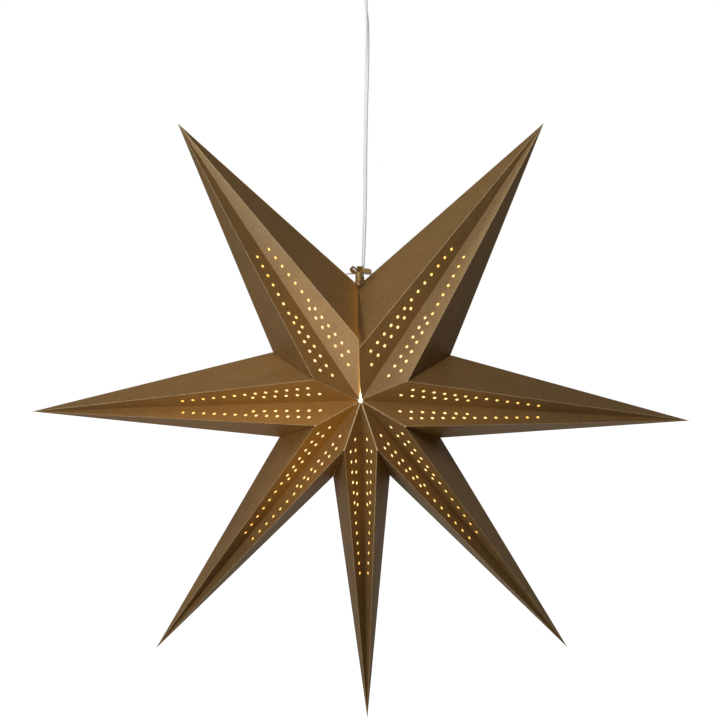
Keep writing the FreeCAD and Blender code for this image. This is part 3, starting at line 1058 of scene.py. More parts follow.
    def base_lines(self) -> list[Array]:
        """Flat lines along the base folds, at steps across their rounding.

        Returns:
            The two ends of each line.
        """
        lines = []
        for panel in range(8):
            start, _, outward = self.base_edge(panel)
            stop = self.corner(panel + 1)
            for step in FOLD_STEPS:
                push = outward * (step * self.fold_half_width - self.crease(panel))
                lines.append(np.array([start + push, stop + push]))
        return lines

    def hole_centres(self) -> Array:
        """Flat centres of every hole: both sides of the front valley and of the back one.

        Returns:
            One row for each hole.
        """
        along_off = np.concatenate([row.centres() for row in self.rows])
        centres = []
        for fold in (2, 6):
            ahead = self.flat_place(1.0, self.turn[fold])
            aside = np.array([-ahead[1], ahead[0]])
            for side in (-1.0, 1.0):
                centres.append(along_off[:, :1] * ahead + side * along_off[:, 1:] * aside)
        return np.concatenate(centres)

    def grid(self, centres: Array) -> Array:
        """Flat grid points that keep clear of folds, holes and the base.

        Args:
            centres: Flat centres of the holes.

        Returns:
            The points, every other row shifted by half a cell.
        """
        span = np.arange(0.0, self.sheet, self.cell)
        x, y = np.meshgrid(span, span)
        x = x + (np.arange(len(span)) % 2)[:, None] * self.cell / 2
        points = np.stack([x.ravel(), y.ravel()], axis=1)
        rho, theta = np.linalg.norm(points, axis=1), np.arctan2(points[:, 1], points[:, 0])
        keep = (rho > self.tip_clear) & (theta > 0) & (theta < self.turn[8])
        keep &= self.fold_distance(rho, theta, range(9)) > self.fold_clear
        panel = self.panel_at(theta)
        for number in range(8):
            start, _, outward = self.base_edge(number)
            keep &= (panel != number) | ((points - start) @ outward < -self.base_clear)
        clear = self.hole_radius + self.halo_width + self.halo_clear
        return points[keep & (nearest(points, centres) > clear)]

    def fold_distance(self, rho: Array, theta: Array, folds: Sequence[int]) -> Array:
        """Distance from flat places to the nearest of some folds."""
        return np.min([np.abs(np.sin(theta - self.turn[fold])) * rho for fold in folds], axis=0)

    def triangulate(self) -> tuple[Array, Array, Array]:
        """Triangles over the flat card, with its holes left open.

        Returns:
            Flat points, triangles, and hole centres.
        """
        centres = self.hole_centres()
        turn = np.linspace(0, 2 * math.pi, self.hole_sides, endpoint=False)
        circle = np.stack([np.cos(turn), np.sin(turn)], axis=1)
        rings, halos = [(centres[:, None] + circle[None] * radius).reshape(-1, 2)
                        for radius in (self.hole_radius, self.hole_radius + self.halo_width)]
        points, edges = [self.outline()], []
        count = len(points[0])
        faces = [list(range(count))]
        for line in self.fold_lines() + self.base_lines():
            edges += [(count + i, count + i + 1) for i in range(len(line) - 1)]
            points.append(line)
            count += len(line)
        for number in range(len(centres)):
            first = count + number * self.hole_sides
            edges += [(first + i, first + (i + 1) % self.hole_sides)
                      for i in range(self.hole_sides)]
        points += [rings, halos, self.grid(centres)]
        flat = np.concatenate(points)
        found = delaunay_2d_cdt([Vector(p) for p in (flat * 1000).tolist()], edges, faces, 1,
                                1e-5, True)
        places = np.array([tuple(v) for v in found[0]]) * MM
        triangles = np.array([face for face, origin in zip(found[2], found[5]) if origin])
        apart = nearest(places[triangles].mean(axis=1), centres)
        return places, triangles[apart > self.hole_radius * 0.98], centres

    # Folding

    def direction(self, theta: Array) -> Array:
        """Direction from the tip at a flat angle, along the great circle of its panel.

        Args:
            theta: Flat angles.

        Returns:
            Unit directions in space.
        """
        wrapped = np.mod(theta, self.turn[8] + 1e-12)
        panel = self.panel_at(wrapped)
        local = (wrapped - self.turn[panel])[..., None]
        return np.cos(local) * self.folds[panel] + np.sin(local) * self.square[panel]

    def cone(self, rho: Array, theta: Array) -> Array:
        """Folded place: tip + rho D, with D eased across each fold by a quadratic curve.

        Args:
            rho: Distances from the tip.
            theta: Flat angles.

        Returns:
            Places in space.
        """
        aim = self.direction(theta)
        total = self.turn[8]
        for fold in range(8):
            half = self.half_angle(rho, fold)
            off = np.mod(theta - self.turn[fold] + total / 2, total) - total / 2
            near = np.abs(off) < half
            if not near.any():
                continue
            t = ((off[near] / half[near] + 1) / 2)[:, None]
            before = self.direction(self.turn[fold] - half[near] + total * (fold == 0))
            after = self.direction(self.turn[fold] + half[near])
            aim[near] = quadratic(t, before, self.folds[fold], after)
        return self.tip + rho[:, None] * aim

    def bowed(self, rho: Array, theta: Array, panel: Array) -> Array:
        """Small bow of each panel off its plane: waves along it, zero at its folds and ends.

        Args:
            rho: Distances from the tip.
            theta: Flat angles.
            panel: Panel of each place.

        Returns:
            What the bow adds to each place.
        """
        random = np.random.default_rng(self.plan.seed)
        lean, first, second = random.uniform(-1, 1, (3, 8))
        phase_first, phase_second = random.uniform(0, 2 * math.pi, (2, 8))
        across = np.sin(math.pi * (theta - self.turn[panel]) / self.wide[panel])
        ends = smooth_step(rho, 15 * MM, 90 * MM) * (1 - smooth_step(rho, 0.18, 0.33) * 0.7)
        wave = (0.7 * lean[panel]
                + first[panel] * np.sin(rho / self.long_wave + phase_first[panel]) * 0.55
                + second[panel] * np.sin(rho / self.short_wave + phase_second[panel]) * 0.16)
        normal = self.normals[panel] * self.handed
        return normal * (self.bow * across * ends * wave)[:, None]

    def tab_frame(self, panel: int) -> tuple[Array, Array, Array, Array]:
        """Directions in space, about a panel's base line, that its tab follows.

        Args:
            panel: The panel's number.

        Returns:
            Inwards in the seam's plane or towards the neighbour's tip for a lap, outwards in
            the panel, square to the seam's plane on this card's side, and the same onwards.
        """
        seam = self.start if panel in (0, 1, 6, 7) else self.end
        first, onwards = self.ends[panel], seam.onwards
        line = unit(self.ends[(panel + 1) % 8] - first)
        inwards = unit(np.cross(line, onwards))
        if inwards @ (STAR_MIDDLE - first) < 0:
            inwards = -inwards
        if self.laps(panel):
            across = self.neighbour - first
            inwards = unit(across - line * (across @ line))
        panel_out = unit(np.cross(line, self.normals[panel]))
        if panel_out @ (self.tip - first) > 0:
            panel_out = -panel_out
        own_side = onwards if onwards @ (self.tip - first) > 0 else -onwards
        return inwards, panel_out, own_side, onwards

    def fold_up(self, flat: Array) -> tuple[Array, Array, Array, Array]:
        """Folds flat places into space, tabs and all.

        Past its base line by s, a place turns into the seam's plane: from the line's foot F
        it goes to F + s B, where B lies in the seam's plane, square to the line and inwards.
        Across the fold it follows (1-t)^2 (F - w A) + 2t(1-t) F + t^2 (F + w B). At the open
        joint one card's side panels turn in a little short of the line, and the other's don't
        turn at all.

        Args:
            flat: Flat places.

        Returns:
            Places in space, rho, theta, and distance past the base line.
        """
        rho, theta = self.polar(flat)
        theta[rho < 1e-9] = 0.0
        panel = self.panel_at(theta)
        places = self.cone(rho, theta) + self.bowed(rho, theta, panel)
        past = np.full(len(flat), -1.0)
        width = self.fold_half_width
        for number in range(8):
            start, along, outward = self.base_edge(number)
            mine = panel == number
            span = (flat - start) @ along
            length = np.linalg.norm(self.corner(number + 1) - start)
            ends = smooth_step(np.minimum(span, length - span), 0.0, self.short_run)
            s = (flat - start) @ outward + self.crease(number) * ends
            past[mine] = s[mine]
            over = mine & (s > -width)
            if self.runs_on(number) or not over.any():
                continue
            inwards, panel_out, own_side, onwards = self.tab_frame(number)
            foot = self.cone(*self.polar(flat[over] - s[over, None] * outward))
            t = np.clip((s[over] / width + 1) / 2, 0, 1)[:, None]
            beyond = np.maximum(s[over] - width, 0)[:, None]
            places[over] = (foot - (1 - t) ** 2 * width * panel_out
                            + (t ** 2 * width + beyond) * inwards)
            if self.laps(number):
                near = mine & (s > -self.lap_run)
                rise = smooth_step(s[near], -self.lap_run, 0.0)[:, None]
                places[near] += self.normals[number] * self.handed * self.lap_lift * rise
                continue
            near = mine & (s > -self.gap_run)
            gap = self.joint_gap if self.slit_on(number) else self.seam_gap
            places[near] += own_side * gap * smooth_step(s[near], -self.gap_run, 0.0)[:, None]
            places[over] += onwards * self.seam_lean * np.maximum(s[over], 0)[:, None]
        return places, rho, theta, past

    def fold_wear(self, rho: Array, theta: Array, past: Array) -> Array:
        """How worn the card is: most on its ridge folds, then where its halves meet.

        Args:
            rho: Distances from the tip.
            theta: Flat angles.
            past: Distances past the base line.

        Returns:
            Wear from 0 to 1, falling to 0 at half a fold's width from each line.
        """
        width = self.fold_half_width
        ridge = np.clip(1 - self.fold_distance(rho, theta, (1, 3, 5, 7)) / width, 0, 1)
        closing = np.clip(1 - self.fold_distance(rho, theta, (0, 4)) / width, 0, 1)
        edge = np.clip(1 - np.abs(past) / width, 0, 1)
        if self.loose is LooseEdge.END:
            edge[np.isin(self.panel_at(theta), (3, 4))] = 0.0
        return np.maximum.reduce([ridge * self.ridge_wear * (past < width),
                                  edge * self.edge_wear, closing * self.silhouette_wear])

    def light_through(self, flat: Array, away: Array, panel: Array,
                      past: Array) -> Array:
        """Light that comes through the card, with leaks at the open joint's lip and slit.

        Args:
            flat: Flat places.
            away: Distances from the star's axis.
            panel: Panel of each place.
            past: Distances past the base line.

        Returns:
            The light's strength, which grows towards the lamp.
        """
        first, second = self.plan.glow
        side = self.side_glow
        strength = np.array([first * side, first, second, second * side,
                             second * side, second, first, first * side])[panel]
        through = smooth_step(-away, -self.plan.carry, -self.glow_near) * strength * (past < 0)
        if self.loose is LooseEdge.START:
            lip = np.exp(np.minimum(past, 0) / (9 * MM)) * (1 - 0.6 * smooth_step(past, 0.0, 3 * MM))
            through += np.isin(panel, (0, 7)) * self.lip_glow * lip
            beside = nearest(flat, np.array([self.corner(2), self.corner(6)]))
            slit = np.exp(-np.abs(past) / (0.8 * MM)) * (1 - smooth_step(beside, 11.5 * MM, 14 * MM))
            through += np.isin(panel, (1, 6)) * self.slit_glow * slit
        return through

    def masks(self, flat: Array, places: Array, rho: Array, theta: Array,
              past: Array, centres: Array) -> dict[str, Array]:
        """Values over the card that its materials read.

        Args:
            flat: Flat places.
            places: The same places in space.
            rho: Distances from the tip.
            theta: Flat angles.
            past: Distances past the base line.
            centres: Flat centres of the holes.

        Returns:
            Fold wear, light through the card, light inside it, hole halos and painted satin
            highlight.
        """
        panel = self.panel_at(theta)
        apart = np.linalg.norm(places - STAR_MIDDLE, axis=1)
        away = np.linalg.norm((places - STAR_MIDDLE)[:, [0, 2]], axis=1)
        # painted highlight: paler colour on the front strips in place of satin sheen, not past the
        # base line
        first, second = self.plan.painted_highlight
        painted_highlight = np.array([0.0, first, second, 0.0, 0.0, second, first, 0.0])[panel] * (past < 0)
        hole = nearest(flat, centres)
        halo = np.clip(1 - (hole - self.hole_radius) / self.halo_width, 0, 1)
        halo = halo ** 2 * (self.halo_least + self.halo_gain
                            * smooth_step(-away, -self.halo_far, -self.halo_near))
        inside = self.inside_bright - (apart - self.inside_near) / self.inside_fall
        return {"fold_wear": self.fold_wear(rho, theta, past),
                "light_through": self.light_through(flat, away, panel, past),
                "inside_light": np.clip(inside, 0.0, 1.0), "hole_halo": halo,
                "painted_satin_highlight": painted_highlight}

    def build(self, finishes: Finishes) -> Object:
        """The folded card with its thickness: outer face, inner face and cut edges.

        Args:
            finishes: The lantern's materials.

        Returns:
            The card's piece.
        """
        flat, triangles, centres = self.triangulate()
        places, rho, theta, past = self.fold_up(flat)
        keep, number = np.unique(np.round(places / 1e-6).astype(np.int64), axis=0,
                                 return_index=True, return_inverse=True)[1:]
        masks = {label: values[keep] for label, values in self.masks(
            flat, places, rho, theta, past, centres).items()}
        places, rho, flat = places[keep], rho[keep], flat[keep]
        triangles = number.ravel()[triangles]
        triangles = triangles[(triangles != np.roll(triangles, 1, axis=1)).all(axis=1)]
        crossed = np.cross(places[triangles[:, 1]] - places[triangles[:, 0]],
                           places[triangles[:, 2]] - places[triangles[:, 0]])
        from_inside = places[triangles].mean(axis=1) - (self.tip + STAR_MIDDLE) / 2
        if np.sum(crossed * from_inside) < 0:
            triangles, crossed = triangles[:, ::-1], -crossed
        normals = np.stack([sum(np.bincount(triangles[:, k], crossed[:, axis], len(places))
                                for k in range(3)) for axis in range(3)], axis=1)
        depth = np.minimum(self.card, 0.03 * rho + 0.02 * MM)
        inner = places - unit(normals) * depth[:, None]
        sides = np.concatenate([triangles[:, [0, 1]], triangles[:, [1, 2]], triangles[:, [2, 0]]])
        code = np.sort(sides, axis=1) @ np.array([len(places), 1])
        _, first, times = np.unique(code, return_index=True, return_counts=True)
        rim = sides[first[times == 1]]
        total = len(places)
        rim_faces = np.stack([rim[:, 1], rim[:, 0], rim[:, 0] + total, rim[:, 1] + total], axis=1)
        surface = Surface(np.concatenate([places, inner]),
                          [triangles, triangles[:, ::-1] + total, rim_faces], [0, 1, 2],
                          {label: np.concatenate([values, values])
                           for label, values in masks.items()},
                          np.concatenate([flat, flat + 0.5]))
        piece = surface.to_object(self.plan.node + "_card",
                                  [finishes.card, finishes.card_inside, finishes.card_edge])
        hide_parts(self.plan.node)
        return piece


@dataclass
class CardStar:
    """Seven card points round the lamp, glued at six seams and open at the top one."""

    # painted highlight: the upper left and upper right points paint a paler colour on one front
    # strip in place of satin sheen
    points: tuple[PointPlan, ...] = (
        PointPlan("point_upper_left", 62.5, 1.25, 373.0, 125.5, (0.08, 0.045), 11,
                  painted_highlight=(1.0, 0.0)),
        PointPlan("point_left", 53.4, 2.3, 377.0, 112.1, (0.1, 0.12), 12,
                  carry=0.42),
        PointPlan("point_lower_left", 43.8, 1.9, 376.4, 105.4, (0.125, 0.065), 13),
        PointPlan("point_bottom", 38.5, 0.75, 374.1, 99.1, (0.046, 0.03), 14),
        PointPlan("point_lower_right", 42.1, -1.45, 375.7, 98.3, (0.032, 0.02), 15),
        PointPlan("point_right", 52.6, -2.4, 376.3, 103.3, (0.04, 0.045), 16),
        PointPlan("point_upper_right", 67.1, -1.55, 372.6, 111.9, (0.012, 0.03), 17,
                  painted_highlight=(0.5, 0.0)),
    )
    outer_row: HoleRow = HoleRow(180.5 * MM, 10.6 * MM, 12.4 * MM, 6.0, 13)
    inner_row: HoleRow = HoleRow(262.4 * MM, 12.3 * MM, 12.9 * MM, 1.9, 7)
    centre_depth: float = 71.5
    base_fold: float = 108.3
    inner_fold: float = 61.6
    joint_azimuth: float = 91.4
    joint_clearance: float = 0.3
    joint_slip: float = 11.5

    def cards(self) -> list[CardPoint]:
        """Each card between its two seams, anticlockwise from the open joint.

        Returns:
            The seven cards.
        """
        turn = sum(point.share for point in self.points)
        gap = math.degrees(self.joint_clearance / self.points[0].notch)
        azimuth = self.joint_azimuth + gap / 2
        cards = []
        for index, plan in enumerate(self.points):
            width = (360.0 - gap) * plan.share / turn
            following = self.points[(index + 1) % len(self.points)]
            slipped = self.inner_fold + (self.joint_slip if index == 0 else 0.0)
            start = self.seam(azimuth, plan.notch, slipped)
            end = self.seam(azimuth + width, following.notch, self.inner_fold)
            tip = at_star(plan.reach * MM, azimuth + width / 2 + plan.lean, 0.0)
            loose = {0: LooseEdge.START, len(self.points) - 1: LooseEdge.END}.get(
                index, LooseEdge.NONE)
            cards.append(CardPoint(plan, tip, start, end, loose,
                                   (self.outer_row, self.inner_row), tip))
            azimuth += width
        cards[0].neighbour = cards[-1].tip
        return cards

    def seam(self, azimuth: float, notch: float, inner_fold: float) -> Seam:
        """A seam from sizes in millimetres."""
        return Seam.at(azimuth, notch * MM, self.base_fold * MM, inner_fold * MM,
                       self.centre_depth * MM)

    def build(self, finishes: Finishes) -> list[Object]:
        """Builds all the card points."""
        return [card.build(finishes) for card in self.cards()]


# Lamp


@dataclass
class Lamp:
    """Globe bulb, cap up, in its holder, on the star's axis. Heights are from its middle."""

    globe: float = 22.5
    neck: float = 9.5
    neck_low: float = 24.5
    neck_high: float = 31.0
    cap: float = 6.9
    cap_low: float = 33.5
    shell_height: float = 14.5
    cap_top: float = 53.5
    pitch: float = 2.82
    thread: float = 0.42
    sleeve: float = 14.5
    sleeve_low: float = 30.5
    sleeve_high: float = 74.5
    wall: float = 2.2
    ribs: int = 36
    rib_depth: float = 0.28
    shell_in: float = 7.05
    shell_out: float = 7.45
    shell_low: float = 36.5
    shelf_low: float = 43.5
    insert_low: float = 55.5
    insert_high: float = 63.5
    contact: float = 3.0
    dome_rise: float = 13.0
    bore: float = 2.7
    grip: float = 5.6
    grip_height: float = 9.0

    def glass(self) -> Surface:
        """Globe r = R sin t, h = -R cos t, run into the neck by a cubic curve.

        Returns:
            The bulb's glass.
        """
        t = np.linspace(0, math.radians(138), 40)
        ball = np.stack([self.globe * np.sin(t), -self.globe * np.cos(t)], axis=1)
        u = np.linspace(0, 1, 14)[1:, None]
        start, heading = ball[-1], np.array([math.cos(t[-1]), math.sin(t[-1])])
        corners = (start, start + heading * 6.0, np.array([self.neck, self.neck_low]),
                   np.array([self.neck, self.neck_high]))
        blend = ((1 - u) ** 3 * corners[0] + 3 * u * (1 - u) ** 2 * corners[1]
                 + 3 * u ** 2 * (1 - u) * corners[2] + u ** 3 * corners[3])
        low = self.cap_low
        foot = np.array([[self.neck - 0.5, low - 0.9], [self.cap - 0.3, low + 0.6],
                         [self.cap - 0.9, low + 2.0], [0.0, low + 2.0]])
        return turned_surface(np.concatenate([ball, blend, foot]) * MM, STAR_MIDDLE, 72)

    def screw_shell(self) -> Surface:
        """Rolled thread: the radius follows a cosine of height over pitch less the turn.

        Returns:
            The bulb's screw cap, as a thin shell.
        """
        low, high = self.cap_low, self.cap_low + self.shell_height
        heights = np.linspace(low, high, 56)
        outer = np.stack([np.full(56, self.cap - self.thread), heights], axis=1)
        rest = np.array([[self.cap - 0.8, high + 0.4], [self.cap - 1.6, high + 1.0],
                         [3.4, high + 1.6], [3.0, high + 1.4], [self.cap - 1.5, high - 0.4],
                         [self.cap - 1.5, low]])

        def thread(turn: Array, height: Array) -> Array:
            """Thread height, faded out at both ends of the shell.

            Args:
                turn: Turn about the axis.
                height: Height above the surface's foot or the star's middle.

            Returns:
                What it adds to the radius.
            """
            inside = (smooth_step(height, (low + 0.6) * MM, (low + 2.4) * MM)
                      * (1 - smooth_step(height, (high - 2.4) * MM, (high - 0.4) * MM)))
            wave = np.cos(2 * math.pi * height / (self.pitch * MM) - turn)
            return self.thread * MM * inside * wave
        return turned_surface(np.concatenate([outer, rest]) * MM, STAR_MIDDLE, 72, thread)

    def sleeve_surface(self) -> Surface:
        """Holder sleeve with a shelf inside; its ribs are a cosine of the turn in one band.

        Returns:
            The sleeve.
        """
        low, high, inner = self.sleeve_low, self.sleeve_high, self.sleeve - self.wall
        rows = np.linspace(low + 1, low + 17, 24)
        outline = np.concatenate([
            rounded_profile([(inner, low), (self.sleeve, low)], 0.5)[:8],
            np.stack([np.full(24, self.sleeve), rows], axis=1),
            rounded_profile([(self.sleeve, high), (inner, high), (inner, self.insert_high),
                             (self.shell_out, self.insert_high),
                             (self.shell_out, self.shelf_low), (inner, self.shelf_low)], 0.4)])

        def ribbed(turn: Array, height: Array) -> Array:
            """Grip ribs round the lower third of the sleeve.

            Args:
                turn: Turn about the axis.
                height: Height above the surface's foot or the star's middle.

            Returns:
                What it adds to the radius.
            """
            band = (smooth_step(height, (low + 2) * MM, (low + 3.5) * MM)
                    * (1 - smooth_step(height, (low + 14) * MM, (low + 15.5) * MM)))
            return self.rib_depth * MM * band * (np.cos(self.ribs * turn) - 1) / 2
        return turned_surface(outline * MM, STAR_MIDDLE, 144, ribbed)

    def grip_surface(self) -> Surface:
        """Tapered flex grip on the dome; its rings are a cosine of the height.

        Returns:
            The flex grip.
        """
        top, taper = self.sleeve_high + self.dome_rise, 1.1
        rings = np.linspace(top + 1, top + 8.6, 30)
        outline = np.concatenate([
            np.array([(self.bore, top), (self.grip, top)]),
            np.stack([self.grip - taper * (rings - top) / self.grip_height, rings], axis=1),
            np.array([(4.2, top + self.grip_height), (self.bore, top + self.grip_height)])])

        def grooved(turn: Array, height: Array) -> Array:
            """Rings that let the flex grip bend, 2 mm apart.

            Args:
                turn: Turn about the axis.
                height: Height above the surface's foot or the star's middle.

            Returns:
                What it adds to the radius.
            """
            band = smooth_step(height, (top + 1.5) * MM, (top + 2.5) * MM)
            wave = 0.5 - 0.5 * np.cos(2 * math.pi * height / (2 * MM))
            return -0.35 * MM * band * wave + 0 * turn
        return turned_surface(outline * MM, STAR_MIDDLE, 48, grooved)

    def build(self, finishes: Finishes) -> list[Object]:
        """Bulb glass, its cap, its insulator and solder tip, and each part of the holder.

        Args:
            finishes: The lantern's materials.

        Returns:
            The lamp's pieces.
        """
        inner, high = self.sleeve - self.wall, self.sleeve_high
        insulator_low, insulator_high = self.cap_low + 14.6, self.cap_top - 0.9
        top = high + self.dome_rise
        dome = [(self.bore, top - 0.02), (self.grip, top - 0.02), (10.9, high + 9.1),
                (self.sleeve, high), (inner, high), (inner * 0.72, high + 7.15),
                (self.bore, top - self.wall)]
        insulator = [(0, insulator_low), (3.3, insulator_low), (4.9, insulator_low + 0.4),
                     (2.9, insulator_high), (0, insulator_high)]
        solder = [(0, insulator_high), (2.5, insulator_high), (2.2, self.cap_top),
                  (0, self.cap_top)]
        insert = self.box(0, self.shell_out, self.insert_low, self.insert_high)
        shell = self.box(self.shell_in, self.shell_out, self.shell_low, self.insert_low)
        contact = self.box(0, self.contact, self.cap_top, self.insert_low)
        parts = (
            ("bulb_glass", self.glass(), finishes.glass, "bulb", Slot.BULB),
            ("bulb_screw_shell", self.screw_shell(), finishes.brass, "bulb", Slot.BRASS),
            ("bulb_insulator", self.turned(insulator, 0.4), finishes.black_glass, "bulb",
             Slot.BULB),
            ("bulb_solder_tip", self.turned(solder, 0.6), finishes.solder, "bulb", Slot.BRASS),
            ("lamp_holder_sleeve", self.sleeve_surface(), finishes.holder, "holder_sleeve",
             Slot.HOLDER),
            ("lamp_holder_dome", self.turned(dome, 1.6), finishes.holder, "holder_dome",
             Slot.HOLDER),
            ("lamp_flex_grip", self.grip_surface(), finishes.holder, "flex_grip", Slot.HOLDER),
            ("lamp_contact_insert", self.turned(insert, 0.5), finishes.ceramic,
             "contact_insert", Slot.CONTACT),
            ("lamp_thread_shell", self.turned(shell, 0.1), finishes.brass, "thread_shell",
             Slot.BRASS),
            ("lamp_centre_contact", self.turned(contact, 0.5), finishes.brass,
             "centre_contact", Slot.BRASS),
        )
        pieces = []
        for name, surface, material, node, slot in parts:
            piece = surface.to_object(name, [material])
            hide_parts(node)
            pieces.append(piece)
        return pieces

    @staticmethod
    def box(inner: float, outer: float, low: float, high: float) -> list[tuple[float, float]]:
        """Outline of a plain ring or disc between two radii and two heights."""
        return [(inner, low), (outer, low), (outer, high), (inner, high)]

    @staticmethod
    def turned(profile: Sequence[tuple[float, float]], ease: float) -> Surface:
        """A closed outline in millimetres, eased at its corners and turned."""
        return turned_surface(rounded_profile(profile, ease) * MM, STAR_MIDDLE)


@dataclass
class Flex:
    """Flat twin flex from the lamp's dome to the ceiling cup, turning slowly as it hangs."""

    route: tuple[tuple[float, float, float], ...] = (
        (0.0, 0.0, 84.0), (0.1, 0.1, 112.0), (2.1, -0.1, 145.0), (4.2, 0.2, 205.0),
        (4.6, -0.2, 262.0), (5.3, 0.3, 318.0), (6.8, -0.1, 375.0), (7.2, 0.2, 422.0),
        (4.6, 0.0, 454.0), (4.6, 0.0, 478.0))
    width: float = 4.8 * MM
    thickness: float = 3.3 * MM
    turns: float = 0.9
    waver: float = 0.9
    girth: float = 14.0 * MM

    def line(self) -> Array:
        """Points along the flex, read from a NURBS line over its route.

        Returns:
            One row for each point, from the holder upwards.
        """
        curve = bpy.data.curves.new("flex_route", "CURVE")
        curve.dimensions = "3D"
        curve.resolution_u = 16
        spline = curve.splines.new("NURBS")
        spline.points.add(len(self.route) - 1)
        places = STAR_MIDDLE + np.array(self.route) * MM
        spline.points.foreach_set("co", np.insert(places, 3, 1.0, axis=1).ravel())
        spline.order_u = 3
        spline.use_endpoint_u = True
        carrier = bpy.data.objects.new("flex_route", curve)
        bpy.context.scene.collection.objects.link(carrier)
        mesh = bpy.data.meshes.new_from_object(carrier)
        points = np.empty(len(mesh.vertices) * 3)
        mesh.vertices.foreach_get("co", points)
        bpy.data.objects.remove(carrier)
        bpy.data.curves.remove(curve)
        bpy.data.meshes.remove(mesh)
        return points.reshape(-1, 3)

    def section(self) -> Array:
        """Outline of two round cores side by side, with a shallow waist between them.

        Returns:
            Section points, anticlockwise.
        """
        turn = np.linspace(0, 2 * math.pi, 28, endpoint=False)
        core = self.thickness / 2
        reach = self.width / 2 - core
        cosine = np.cos(turn)
        across = cosine * core + np.sign(cosine) * reach * np.abs(cosine) ** 0.5
        waist = 1 - 0.16 * np.exp(-(cosine / 0.35) ** 2)
        return np.stack([across, np.sin(turn) * core * waist], axis=1)

    def build(self, finishes: Finishes, fittings: Sequence[object]) -> Object:
        """The twisted twin tube that the lantern hangs by, in place of the cord part.

        Args:
            finishes: The lantern's materials.
            fittings: The ceiling pieces at its far end; not used.

        Returns:
            The flex.
        """
        line = self.line()
        share = np.linspace(0, 1, len(line))
        twist = 2 * math.pi * self.turns * share + self.waver * np.sin(share * 7.0)
        tube = tube_surface(line, self.section(), twist, self.girth)
        piece = tube.to_object("twin_flex", [finishes.flex])
        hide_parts("cord")
        return piece


